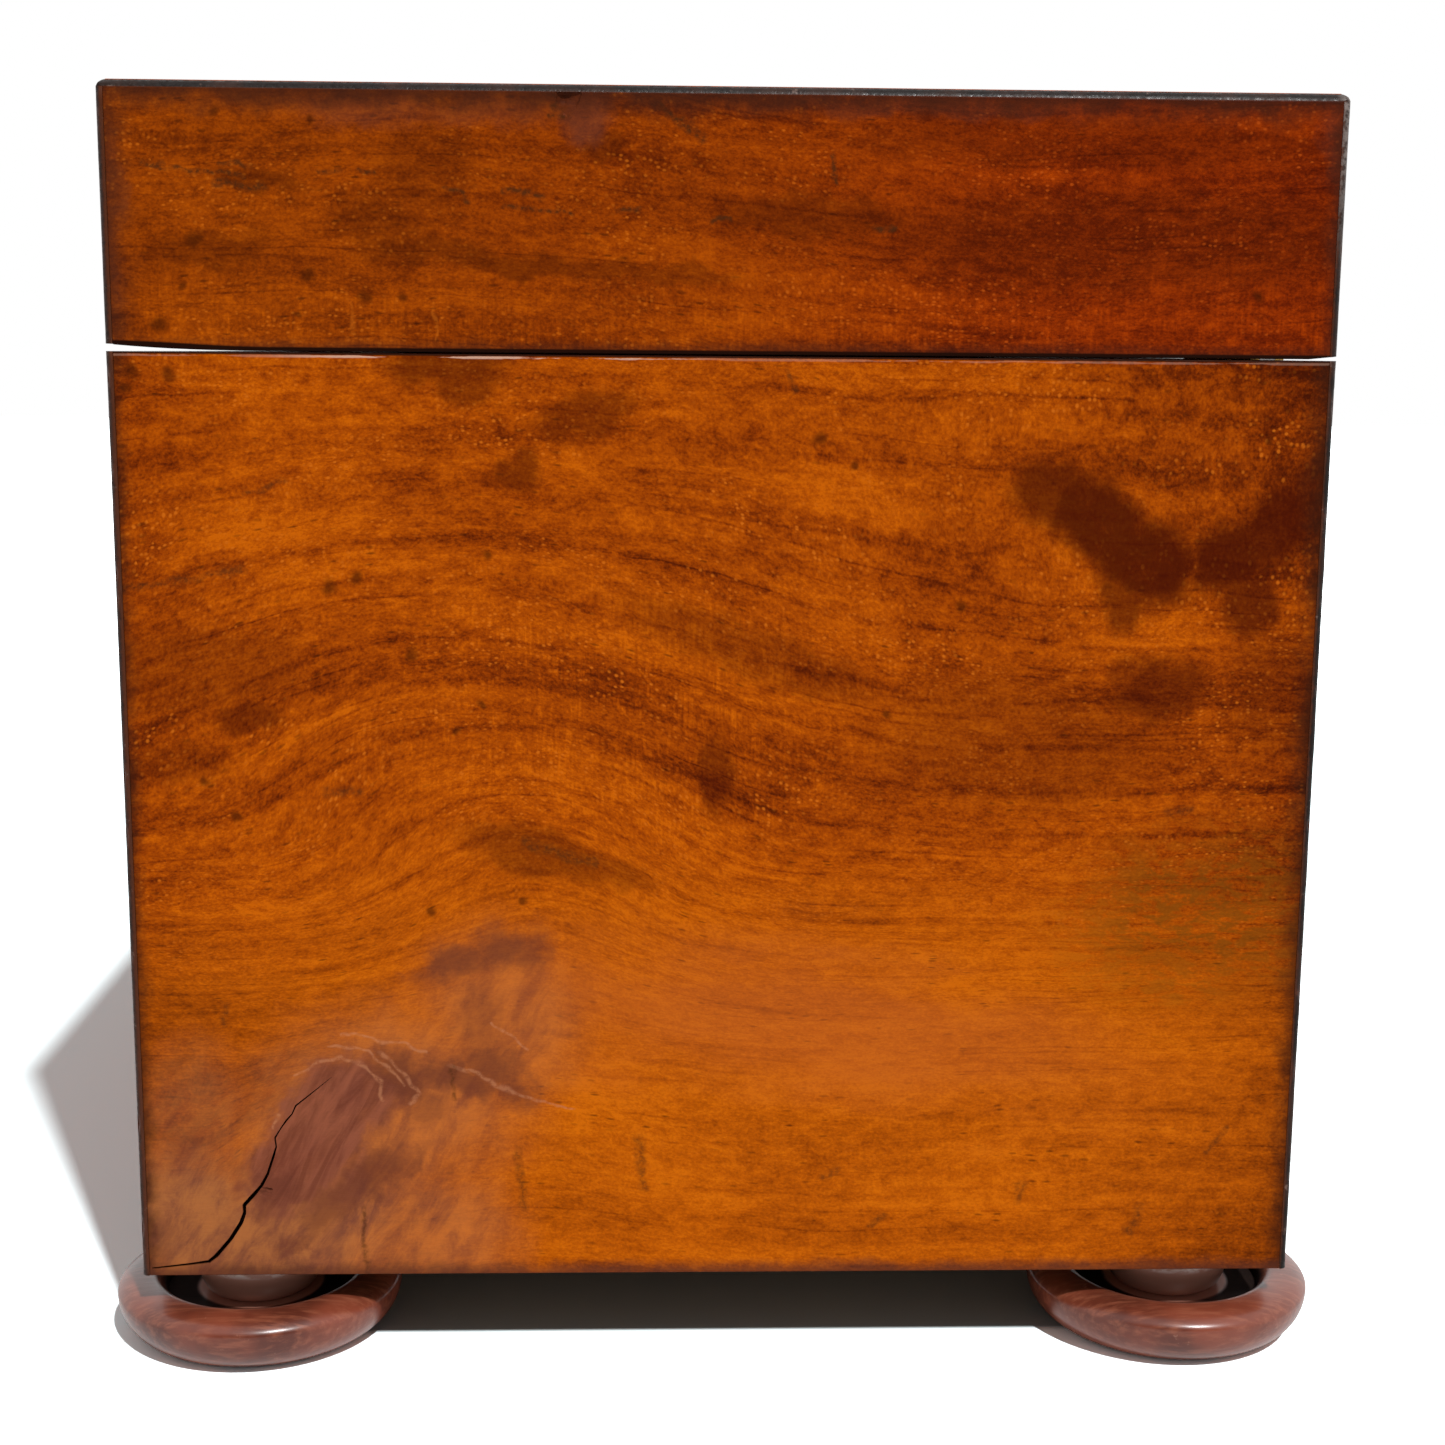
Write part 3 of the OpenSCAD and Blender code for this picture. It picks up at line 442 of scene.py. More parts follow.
def markMasks(w, along, across, marks):
    # joins every mark of one kind into a mask; one slow warp makes all of them irregular
    place = w.vector(along, across, 0.0)

    def warp(value, scale, amount, offset, detail):
        moved = w.shift("ADD", place, (offset, -offset, offset))
        return w.add(value, w.sway(w.noise(moved, scale=scale, detail=detail, roughness=0.62), amount))

    loose = warp(along, 0.22, 6.0, 31.0, 5.0), warp(across, 0.26, 5.0, 77.0, 5.0)
    tight = warp(along, 0.45, 1.5, 12.0, 1.0), warp(across, 0.45, 1.3, 53.0, 1.0)
    broken = w.noise(place, scale=1.6, detail=3.0, roughness=0.6)

    def blots(listed, softness, places=loose):
        return w.most(0.0, *[w.times(blot(w, *places, centre, half, math.radians(turn), softness), strength)
                             for centre, half, turn, strength in listed])

    def strokes(listed, low, high):
        made = [w.use(thinStroke, Along=tight[0], Across=tight[1], From=(*start, 0.0), To=(*end, 0.0),
                      Width=width * 1.5)["Mask"] for start, end, width in listed]
        return w.times(w.most(0.0, *made), w.ramp(broken, low, high, 0.35, 1.0))

    spots = [(centre, (radius, radius), 0, 0.85) for centre, radius in marks["spots"]]
    chains = [(start[:2], end[:2], start[2]) for chain in marks["pale"]
              for start, end in zip(chain, chain[1:])]
    return {
        "stain": blots(marks["stains"], 0.40),
        "spot": blots(spots, 0.7, tight),
        "stroke": strokes(marks["strokes"], 0.42, 0.60),
        "pale": strokes(chains, 0.40, 0.55),
        "knot": blots(marks["knot"], 0.25),
        "purple": blots(marks["purple"], 0.55),
        "haze": blots(marks["haze"], 0.6),
    }


def woodColour(w, grain, light, gold, flecks):
    # light goes from the darkest to the lightest wood, gold brings in the yellower heartwood
    base = w.tint(gold, w.scale(light, timber["amber"]), w.scale(light, timber["gold"]))
    return w.layered(base, (grain["Fleck"], flecks, timber["fleck"]), (grain["Pore"], 0.62, timber["pore"]))


def crestFall(w, offCrest):
    # 0 at the crest of the year rings and 1 far from it
    return w.take(1.0, w.math("EXPONENT", w.times(offCrest, offCrest, -1.0)))


def fineFigure(w, grain, light, strength):
    # the figure that every board shares, from the ring bands down to the finest specks
    for name, amount in (("Band", 0.8), ("Cloud", 0.75), ("Mottle", 1.15), ("Streak", 0.45), ("Speck", 0.8)):
        light = w.add(light, w.times(w.sway(grain[name], amount), strength))
    return w.take(light, w.times(grain["Line"], 0.20, strength))


def combed(w, grain, light, mask, amount, low=0.40):
    # fine flecks across the grain, where the mask allows them
    comb = w.times(mask, w.ramp(grain["Mottle"], low, low + 0.20))
    return w.add(light, w.times(w.sway(grain["Comb"], amount), comb))


def finishWood(w, surface, colour, along, across, depth):
    # open grain under the polish, which shows where the board is seen along its surface
    height = w.noise(w.stretch((along, across, depth), (1.5, 0.36, 0.6)), detail=3.0, roughness=0.6)
    facing = w.made("ShaderNodeLayerWeight", {"Blend": 0.5})["Facing"]
    w.feed(surface, {
        "Base Color": colour,
        "Normal": w.bump(height, timber["bumpDepth"]),
        "Roughness": timber["roughness"],
        "Specular IOR Level": timber["specular"],
        "Coat Weight": w.ramp(facing, 0.45, 0.95, *timber["polish"]),
        "Coat Roughness": timber["polishRoughness"],
    })


def nearEdge(w, value, edge, reach, place, amount):
    # dirt that fades out unevenly from one edge
    ragged = w.sway(w.noise(place, scale=0.35, detail=4.0, roughness=0.62), 1.1)
    away = w.over(w.apart(value, edge), reach)
    return w.times(w.ramp(w.add(away, ragged), 1.0, 0.0), amount)


def makeEndWood():
    material, w, surface = newMaterial("caseEndWood")
    place = placeInMm(w)
    depth, along, across = w.split(place)

    # cathedral figure: the rings crest left of the middle and fall away to both sides
    spread = w.ramp(across, 48.0, 92.0, 16.0, 40.0)
    fall = crestFall(w, w.over(w.add(along, w.ramp(across, 48.0, 92.0, 20.0, 29.0)), spread))
    swell = w.times(w.ramp(across, 112.0, 78.0, 0.12, 1.0), w.ramp(across, 30.0, 58.0, 0.25, 1.0))
    ring = w.add(across, w.times(fall, swell, 11.5))
    ring = w.take(ring, w.times(blot(w, along, across, (-42.0, 26.0), (9.0, 7.0), 0.8, 0.9), 7.0))
    grain = w.use(woodGrain, Along=along, Ring=ring, Depth=depth, Seed=1.0)
    marks = markMasks(w, along, across, endMarks)

    # how light the wood is, from the broad areas down to the fine streaks
    gold = w.ramp(w.add(across, w.sway(grain["Cloud"], 22.0), w.times(fall, 4.0)), 62.0, 42.0)
    light = w.profile(w.add(across, w.sway(grain["Cloud"], 14.0)), 8.0, 110.0, [
        (8.0, 0.66), (20.0, 0.75), (40.0, 0.82), (50.0, 0.83), (57.0, 0.73), (66.0, 0.63), (76.0, 0.59),
        (88.0, 0.62), (96.0, 0.71), (103.0, 0.68), (110.0, 0.58)])
    light = fineFigure(w, grain, light, w.mix(gold, 0.98, 0.80))
    light = combed(w, grain, light, blot(w, along, across, (-12.0, 72.0), (24.0, 14.0), 0.0, 0.6), 1.0, 0.42)
    light = w.take(light, w.ramp(w.apart(along), 48.0, 62.5, 0.0, 0.16))
    light = w.take(light, w.times(w.ramp(across, 84.0, 100.0), w.ramp(along, 22.0, 54.0, 0.0, 0.28)))
    sides = w.most(w.ramp(along, -26.0, -50.0, 0.0, 0.15), w.ramp(along, 28.0, 50.0, 0.0, 0.09))
    light = w.take(light, w.times(w.ramp(across, 62.0, 50.0), sides))
    wander = w.add(ring, w.sway(grain["Cloud"], 3.0))
    lines = w.most(0.0, *[w.ramp(w.apart(wander, level), 0.62, 0.05) for level in endMarks["rings"]])
    light = w.take(light, w.times(lines, w.ramp(grain["Streak"], 0.36, 0.60), 0.24))
    colour = woodColour(w, grain, light, gold, w.mix(gold, 0.75, 0.25))

    # broad areas of another colour, and the swirled and smoky wood round the knot
    warped = w.add(across, w.sway(grain["Cloud"], 16.0))
    salmon = blot(w, along, warped, (8.0, 38.0), (30.0, 7.0), -0.14, 0.7)
    green = w.times(blot(w, along, warped, (51.0, 50.0), (13.0, 8.0), 0.0, 0.7),
                    w.ramp(grain["Mottle"], 0.40, 0.58))
    lean = w.add(w.times(along, 0.88), w.times(across, -0.47))
    rise = w.add(w.times(along, 0.47), w.times(across, 0.88))
    swirl = w.noise(w.vector(w.over(lean, 1.5), w.over(rise, 9.0), 0.0), detail=5.0, roughness=0.66,
                    twist=0.9)
    smoky = w.noise(w.vector(w.over(lean, 2.6), w.over(rise, 7.0), 4.0), detail=6.0, roughness=0.68,
                    twist=0.5)
    knot = w.tint(w.ramp(swirl, 0.30, 0.72), *timber["knot"])
    faded = w.tint(w.ramp(along, -30.0, -48.0), *timber["faded"])
    faded = w.tint(w.ramp(smoky, 0.64, 0.32), faded, timber["smoke"])
    stain = w.times(marks["stain"], w.ramp(grain["Mottle"], 0.2, 0.55, 0.75, 1.0))
    colour = w.layered(
        colour, (salmon, 0.42, timber["salmon"]), (green, 0.70, timber["green"]),
        (marks["haze"], 0.94, faded), (stain, 0.96, timber["stain"]), (marks["knot"], 0.90, knot),
        (marks["purple"], 0.80, timber["purple"]), (marks["pale"], 0.42, timber["scar"]),
        (marks["spot"], 0.80, timber["pore"]), (marks["stroke"], 0.58, timber["scratch"]))

    # dirt along the edges, polish rubbed through at the rim with a painted highlight along its arris, and
    # painted shade inside the crack
    sides = w.most(nearEdge(w, along, halfDepth, 3.6, place, 0.9),
                   nearEdge(w, along, -halfDepth, 2.6, place, 0.9))
    # polish rubbed through at the rim; its paler colour is also a painted highlight along the arris
    rim = w.use(edgeWear, Value=across, Edge=caseTop - 0.35, Width=0.19, Cover=0.60,
                Place=w.vector(w.over(along, 7.0), w.over(across, 0.9), 3.0))["Mask"]
    rim = w.times(rim, w.most(w.ramp(w.apart(along, -24.0), 27.0, 14.0), 0.25))
    outer = w.ramp(depth, halfLength - 0.45, halfLength - 0.25)
    # painted shade: the inside of the crack is coloured near black
    crack = w.times(w.ramp(depth, halfLength - 0.10, halfLength - 0.35), w.ramp(along, -38.0, -40.0),
                    w.ramp(across, 40.0, 36.0), w.ramp(across, footHeight + 0.4, footHeight + 0.7))
    colour = w.layered(
        colour, (sides, 1.0, timber["dirt"]),
        (nearEdge(w, across, footHeight, 1.9, place, 0.75), 1.0, timber["lowDirt"]),
        (w.ramp(across, caseTop - 0.30, caseTop - 0.12), outer, timber["rimLine"]),
        (w.times(rim, outer), 0.9, timber["rubbed"]), (crack, 1.0, timber["crack"]))
    finishWood(w, surface, colour, along, across, depth)
    return material


def makeLidEndWood():
    material, w, surface = newMaterial("lidEndWood")
    place = placeInMm(w)
    depth, along, across = w.split(place)
    ring = w.add(across, w.times(along, 0.04), w.times(w.math("SINE", w.times(along, 0.06)), 1.2))
    grain = w.use(woodGrain, Along=along, Ring=ring, Depth=depth, Seed=7.0)
    marks = markMasks(w, along, across, lidMarks)
    light = w.profile(along, -64.0, 64.0, [(-64.0, 0.34), (-54.0, 0.45), (-20.0, 0.38), (2.0, 0.41),
                                           (30.0, 0.37), (64.0, 0.34)])
    bright = blot(w, w.add(along, w.sway(grain["Cloud"], 30.0)), across, (2.0, 116.0), (22.0, 6.5), 0.0, 0.7)
    light = fineFigure(w, grain, w.add(light, w.times(bright, 0.12)), 0.74)
    light = combed(w, grain, light, w.ramp(across, 119.0, 112.0), 0.6)
    colour = woodColour(w, grain, light, w.ramp(along, -10.0, -50.0, 0.0, 0.35), 0.52)
    redder = w.tint(1.0, colour, (1.0, 0.70, 1.0), "MULTIPLY")
    edges = ((across, lidTop - 0.7, 3.4, 0.85), (along, -halfDepth, 4.4, 0.7),
             (along, halfDepth, 2.6, 0.85), (across, lidLow + 0.05, 1.8, 0.6))
    dirt = w.most(*[nearEdge(w, value, edge, reach, place, amount) for value, edge, reach, amount in edges])
    lifted = w.ramp(along, -46.0, -62.0, 0.0, 0.55)
    lowest = w.ramp(w.take(across, lifted), lidLow + 0.50, lidLow + 0.30)
    outer = w.ramp(depth, halfLength - 0.50, halfLength - 0.25)
    colour = w.layered(
        colour, (w.ramp(along, -10.0, 40.0), 1.0, redder), (marks["stain"], 0.85, timber["lidStain"]),
        (marks["purple"], 0.70, timber["lidPurple"]), (marks["pale"], 0.35, timber["fleck"]),
        (marks["spot"], 0.82, timber["pore"]), (marks["stroke"], 0.80, timber["scratch"]),
        (dirt, 1.0, timber["lidDirt"]), (lowest, outer, timber["lidLine"]))
    finishWood(w, surface, colour, along, across, depth)
    return material


def makeBoardWood(name, axes, seed, crest, light):
    # the other boards: the same timber with a long cathedral figure; crest is its place, width and height
    material, w, surface = newMaterial(name)
    whole = w.split(placeInMm(w))
    along, across, depth = (whole["XYZ".index(axis)] for axis in axes)
    fall = crestFall(w, w.over(w.take(along, crest[0]), crest[1]))
    ring = w.add(across, w.times(fall, crest[2]))
    grain = w.use(woodGrain, Along=along, Ring=ring, Depth=depth, Seed=seed)
    spread = w.vector(w.over(along, 9.0), w.over(across, 6.0), seed + 0.5)
    blotch = w.noise(spread, detail=5.0, roughness=0.62, twist=0.6)
    yellow = w.times(w.ramp(w.noise(spread, scale=0.3, detail=1.0), 0.42, 0.62), 0.4)
    light = fineFigure(w, grain, light, 0.74)
    light = combed(w, grain, light, w.ramp(w.noise(spread, scale=0.5), 0.52, 0.64), 1.2)
    scratch = w.noise(w.vector(w.over(along, 3.0), w.over(across, 0.18), seed), detail=0.0)
    gate = w.ramp(w.noise(w.vector(w.over(along, 12.0), w.over(across, 3.0), seed)), 0.55, 0.66)
    colour = w.layered(
        woodColour(w, grain, light, yellow, 0.6), (w.ramp(blotch, 0.60, 0.70), 0.8, timber["stain"]),
        (w.times(w.ramp(scratch, 0.72, 0.80), gate), 0.6, timber["scratch"]))
    finishWood(w, surface, colour, along, across, depth)
    return material


wood = {
    "rightEnd": makeEndWood(),
    "lidRightEnd": makeLidEndWood(),
    "long": makeBoardWood("caseLongWood", "XZY", 3.0, (-22.0, 70.0, 15.0), 0.58),
    "leftEnd": makeBoardWood("caseLeftWood", "YZX", 5.0, (14.0, 44.0, 12.0), 0.60),
    "top": makeBoardWood("lidTopWood", "XYZ", 9.0, (30.0, 90.0, 22.0), 0.60),
}
print("caddy: wood finishes ready")


ebony = {
    "dark": (0.0070, 0.0034, 0.0022),
    "brown": (0.030, 0.0110, 0.0060),
    "inner": (0.085, 0.020, 0.005),
    "worn": (0.230, 0.150, 0.120),
    "handled": (0.250, 0.205, 0.185),
    "rubbed": (0.480, 0.360, 0.310),
}


def makeEbony():
    material, w, surface = newMaterial("ebonisedString")
    place = placeInMm(w)
    x, y, z = w.split(place)
    cloud = w.noise(place, scale=0.25, detail=4.0)
    fine = w.noise(place, scale=1.8, detail=4.0, roughness=0.6)
    colour = w.tint(w.ramp(cloud, 0.40, 0.66), ebony["dark"], ebony["brown"])
    # how far across the string, from 0 at the board to 1 at the outer corner
    outX, outY = w.apart(x), w.apart(y)
    upright = w.take(w.add(outX, outY), halfLength + halfDepth - stringWidth)
    flat = w.most(w.take(w.add(outX, z), halfLength + lidTop - stringWidth),
                  w.take(w.add(outY, z), halfDepth + lidTop - stringWidth))
    reach = w.over(w.mix(w.math("GREATER_THAN", z, lidTop - stringWidth), upright, flat), stringWidth)
    blend = w.add(w.take(reach, w.ramp(y, 0.0, -20.0, 0.0, 0.24)), w.sway(fine, 0.5))
    blend = w.most(w.ramp(blend, -0.10, 0.34), w.ramp(z, lidTop - 0.9, lidTop - 0.7))
    colour = w.tint(blend, ebony["inner"], colour)
    worn = w.ramp(w.noise(place, scale=0.7, detail=5.0, roughness=0.7), 0.62, 0.72)
    handled = w.times(w.ramp(y, halfDepth - 1.7, halfDepth - 0.3), w.ramp(z, 116.0, 131.0),
                      w.ramp(fine, 0.38, 0.58, 0.1, 0.75))
    rubbed = w.use(edgeWear, Value=reach, Edge=0.82, Width=0.30, Place=w.stretch((x, y, z), (5, 5, 5)),
                   Cover=0.48)["Mask"]
    w.feed(surface, {
        "Base Color": w.layered(colour, (worn, 0.55, ebony["worn"]), (handled, 1.0, ebony["handled"]),
                                (rubbed, w.ramp(z, 128.0, 134.0, 0.25, 0.95), ebony["rubbed"])),
        "Roughness": w.ramp(fine, 0.35, 0.65, 0.24, 0.55, smooth=False),
        "Normal": w.bump(fine, 0.00006),
        "Specular IOR Level": 0.18,
    })
    return material


turned = {
    "body": (0.225, 0.050, 0.024),
    "dark": (0.105, 0.022, 0.011),
    "light": (0.340, 0.105, 0.054),
    "worn": (0.380, 0.170, 0.110),
    # painted shade on the ring's inner edge by the groove
    "shaded": (0.060, 0.022, 0.015),
    # painted light: the bead is coloured paler to look lit
    "bead": (0.620, 0.290, 0.205),
    # painted highlight on the bead
    "paintedBeadHighlight": (0.950, 0.760, 0.680),
    # dirt in the groove, darkened further as painted shade
    "dirt": (0.006, 0.003, 0.002),
    "roughness": 0.34,
}


def makeTurnedWood():
    material, w, surface = newMaterial("turnedWood")
    place = placeInMm(w)
    x, y, z = w.split(place)
    cloud = w.noise(place, scale=0.11, detail=3.0)
    figure = w.noise(w.vector(w.times(x, 1.6), w.times(y, 0.22), w.times(z, 1.2)), detail=5.0, roughness=0.62)
    nicks = w.ramp(w.noise(place, scale=0.6, detail=5.0, roughness=0.7), 0.64, 0.70)
    lathe = w.noise(w.vector(0.0, 0.0, w.times(z, 3.0)))
    # dirt and painted shade in the groove of each foot, and the bead inside it painted paler as painted
    # light, with a painted highlight
    outX, outY = w.take(w.apart(x), footX), w.take(w.apart(y), footY)
    away = w.length(outX, outY)
    low = w.ramp(w.add(z, w.sway(cloud, 1.2)), 6.5, 5.2)
    # painted shade, with some dirt: the groove is coloured near black and loses its polish
    dirt = w.times(w.ramp(away, 12.8, 10.6), w.ramp(away, 6.9, 7.3), low, w.ramp(outX, 3.5, 8.0, 1.0, 0.80))
    # painted shade on the ring's inner edge, fading into the groove
    groove = w.ramp(w.add(away, w.sway(figure, 1.0)), 12.4, 10.4)
    # painted light: the bead is coloured paler so that it looks lit inside the case's shadow
    bead = w.times(w.ramp(away, 7.1, 6.7), w.ramp(z, footHeight, footHeight - 1.0))
    # painted highlight: a pale band round the bead's upper part
    pale = w.times(bead, w.ramp(w.apart(z, 8.3), 0.9, 0.2), w.ramp(figure, 0.40, 0.56))
    w.feed(surface, {
        "Base Color": w.layered(
            w.tint(w.ramp(cloud, 0.34, 0.62), turned["dark"], turned["body"]),
            (w.ramp(figure, 0.42, 0.70), 0.6, turned["light"]), (nicks, 0.5, turned["worn"]),
            (groove, 0.55, turned["shaded"]), (bead, 1.0, turned["bead"]), (pale, 1.0, turned["paintedBeadHighlight"]),
            (dirt, 0.95, turned["dirt"])),
        "Coat Weight": w.take(0.9, w.times(dirt, 0.9)),
        "Coat Roughness": 0.26,
        "Roughness": w.mix(dirt, turned["roughness"], 0.95),
        "Normal": w.bump(w.add(w.times(lathe, 0.5), w.times(figure, 0.6)), 0.00005),
        "Specular IOR Level": 0.18,
    })
    return material


plain = {
    # the darkest and the lightest of each oiled wood
    "lining": ((0.110, 0.030, 0.010), (0.290, 0.095, 0.030)),
    "base": ((0.150, 0.075, 0.034), (0.330, 0.190, 0.090)),
    "innerLid": ((0.090, 0.015, 0.003), (0.460, 0.125, 0.020)),
}


def makePlainWood(name, dark, light, axes, seed, roughness=0.55):
    # oiled inner woods, straight in the grain
    material, w, surface = newMaterial(name)
    place = w.split(placeInMm(w))
    along, across, depth = (place["XYZ".index(axis)] for axis in axes)
    grain = w.use(woodGrain, Along=along, Ring=across, Depth=depth, Seed=seed)
    value = 0.5
    for kind, amount in (("Band", 1.1), ("Cloud", 0.6), ("Streak", 0.9), ("Mottle", 0.8), ("Speck", 0.4)):
        value = w.add(w.sway(grain[kind], amount), value)
    colour = w.tint(w.take(value, w.times(grain["Line"], 0.3)), dark, light)
    w.feed(surface, {
        "Base Color": w.layered(colour, (grain["Pore"], 0.7, tuple(part * 0.3 for part in dark))),
        "Normal": w.bump(w.take(grain["Streak"], grain["Pore"]), 0.00006),
        "Roughness": roughness,
        "Specular IOR Level": 0.15,
    })
    return material


def makeMetal(name, bright, dull, roughness):
    material, w, surface = newMaterial(name)
    place = placeInMm(w)
    cloud = w.noise(place, scale=0.3, detail=4.0, roughness=0.6)
    fine = w.noise(place, scale=3.0, detail=3.0)
    drawn = w.noise(w.shift("MULTIPLY", place, (0.25, 4.0, 4.0)))
    spots = w.ramp(w.noise(place, scale=1.6, detail=4.0, roughness=0.7), 0.66, 0.74)
    colour = w.tint(w.ramp(cloud, 0.36, 0.78, 0.0, 0.7), bright, dull)
    rough = w.ramp(w.add(cloud, w.times(fine, 0.3)), 0.4, 0.9, roughness, roughness + 0.25)
    w.feed(surface, {
        "Base Color": w.layered(colour, (spots, 0.5, tuple(part * 0.35 for part in dull))),
        "Roughness": w.add(rough, w.times(spots, 0.2)),
        "Normal": w.bump(w.add(fine, drawn), 0.00002),
        "Metallic": 1.0,
    })
    return material


velvet = {
    "shade": (0.072, 0.007, 0.010),
    "body": (0.120, 0.012, 0.018),
    "nap": (0.210, 0.030, 0.036),
    "roll": 1.5,  # how far in from its edges the velvet rolls over the card
    "crown": 0.35,  # how much it swells in the middle
    "pucker": 0.10,
    "step": 2.0,  # spacing of the mesh, in millimetres as the others
}


def makeVelvet():
    material, w, surface = newMaterial("lidVelvet")
    place = placeInMm(w)
    nap = w.noise(place, scale=4.0)
    crush = w.noise(place, scale=0.07, detail=3.0)
    colour = w.tint(w.ramp(crush, 0.32, 0.68), velvet["shade"], velvet["body"])
    w.feed(surface, {
        "Base Color": w.layered(colour, (w.ramp(nap, 0.45, 0.70), 0.4, velvet["nap"])),
        "Normal": w.bump(nap, 0.00025),
        "Roughness": 0.95,
        "Sheen Weight": 0.8,
        "Sheen Roughness": 0.35,
        "Specular IOR Level": 0.1,
    })
    return material


finish = {
    "ebony": makeEbony(),
    "turned": makeTurnedWood(),
    "liningLong": makePlainWood("liningLongWood", *plain["lining"], "XZY", 11.0),
    "liningEnd": makePlainWood("liningEndWood", *plain["lining"], "YZX", 13.0),
    "base": makePlainWood("baseWood", *plain["base"], "XYZ", 15.0, 0.8),
    "innerLid": makePlainWood("innerLidWood", *plain["innerLid"], "XYZ", 17.0, 0.45),
    "brass": makeMetal("agedBrass", (0.640, 0.400, 0.130), (0.270, 0.160, 0.060), 0.28),
    "steel": makeMetal("oldSteel", (0.420, 0.410, 0.400), (0.170, 0.150, 0.130), 0.35),
    "velvet": makeVelvet(),
}
print("caddy: other finishes ready")


def mergedCopy(nodeName):
    # a clean copy of a part's mesh: loose triangles joined, flat faces made whole
    shape = bmesh.new()
    shape.from_mesh(nodes[nodeName].data)
    bmesh.ops.remove_doubles(shape, verts=shape.verts, dist=0.000002)
    bmesh.ops.dissolve_limit(shape, angle_limit=math.radians(1.0), verts=shape.verts, edges=shape.edges)
    return shape


def newObject(name, data):
    made = bpy.data.objects.new(name, data)
    bpy.context.collection.objects.link(made)
    return made


def pieceFrom(shape, name, material):
    mesh = bpy.data.meshes.new(name)
    shape.to_mesh(mesh)
    shape.free()
    mesh.materials.append(material)
    return newObject(name, mesh)


def smoothen(piece, sharp):
    # smooth shading that stops at the edges sharper than an angle in degrees
    piece.data.shade_smooth()
    piece.data.set_sharp_from_angle(angle=math.radians(sharp))


def pointUp(angle, turn):
    # a direction at an angle above the floor and turned from the right end towards the back
    up, turn = math.radians(angle), math.radians(turn)
    return Vector((math.cos(up) * math.cos(turn), math.cos(up) * math.sin(turn), math.sin(up)))


def halve(shape, place, normal):
    # adds a loop of vertices where a plane meets the shape
    bmesh.ops.bisect_plane(shape, geom=shape.verts[:] + shape.edges[:] + shape.faces[:], plane_co=place,
                           plane_no=normal)


def applyModifiers(piece):
    depsgraph = bpy.context.evaluated_depsgraph_get()
    mesh = bpy.data.meshes.new_from_object(piece.evaluated_get(depsgraph))
    piece.modifiers.clear()
    piece.data = mesh


def standIn(piece, slot, body, *nodeNames):
    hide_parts(*nodeNames)
    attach(piece, body)


crack = {
    "outside": 107.9,  # the levels between which the wedge reaches, in millimetres
    "inside": 105.9,
    "opening": 0.85,
    "line": [  # along, up and half width
        (-41.6, 32.4, 0.03), (-43.4, 30.9, 0.08), (-45.5, 29.2, 0.13), (-45.9, 28.3, 0.10),
        (-46.5, 27.6, 0.14), (-47.2, 26.6, 0.10), (-47.8, 25.6, 0.13), (-47.7, 24.6, 0.12),
        (-48.0, 23.6, 0.17), (-48.7, 21.5, 0.19), (-49.4, 20.2, 0.23), (-50.4, 19.0, 0.30),
        (-51.3, 18.0, 0.31), (-51.3, 17.1, 0.26), (-51.7, 16.0, 0.30), (-52.9, 14.1, 0.29),
        (-54.5, 12.2, 0.31), (-55.3, 11.55, 0.27), (-57.2, 11.3, 0.21), (-59.4, 11.05, 0.17),
        (-61.4, 10.85, 0.12)],
}


def crackShape():
    points = [Vector((0.0, along, up)) * mm for along, up, half in crack["line"]]
    top, bottom = Vector((crack["outside"] * mm, 0.0, 0.0)), Vector((crack["inside"] * mm, 0.0, 0.0))
    shape = bmesh.new()
    rings = []
    for index, (here, (along, up, half)) in enumerate(zip(points, crack["line"])):
        ahead = points[min(index + 1, len(points) - 1)] - points[max(index - 1, 0)]
        side = Vector((0.0, -ahead.z, ahead.y)).normalized() * half * crack["opening"] * mm
        rings.append([shape.verts.new(here + offset) for offset in (
            top + side, top - side, bottom - side * 0.3, bottom + side * 0.3)])
    for first, second in zip(rings, rings[1:]):
        for corner in range(4):
            following = (corner + 1) % 4
            shape.faces.new((first[corner], first[following], second[following], second[corner]))
    shape.faces.new(rings[0][::-1])
    shape.faces.new(rings[-1])
    bmesh.ops.recalc_face_normals(shape, faces=shape.faces)
    return shape


def dentShape(centre, size, seed):
    # a rough lump, used to knock a dent into an edge
    shape = bmesh.new()
    bmesh.ops.create_icosphere(shape, subdivisions=3, radius=1.0)
    for vert in shape.verts:
        swell = 1.0 + 0.45 * noise.noise(vert.co * 1.6 + Vector((seed, 0.0, 0.0)))
        vert.co = Vector([centre[axis] + vert.co[axis] * size[axis] * swell for axis in range(3)]) * mm
    return shape


def cutBy(piece, shape, name):
    cutter = pieceFrom(shape, name, finish["turned"])
    cut = piece.modifiers.new(name, "BOOLEAN")
    cut.operation = "DIFFERENCE"
    cut.solver = "EXACT"
    cut.object = cutter
    applyModifiers(piece)
    bpy.data.objects.remove(cutter)


joint = {
    "most": 0.57,  # how far the lid's corner is lifted, in millimetres
    "from": -46.0,  # where the lift starts, and over what length it grows
    "run": 16.5,
    "bend": 1.6,  # how late in that length it grows
    "past": -45.0,  # only what lies beyond this place and below this height is moved
    "reach": 0.95,
    "levels": (-48.0, -50.0, -52.0, -54.0, -56.0, -58.0, -59.5, -61.0),  # cuts that let the edge bend
}


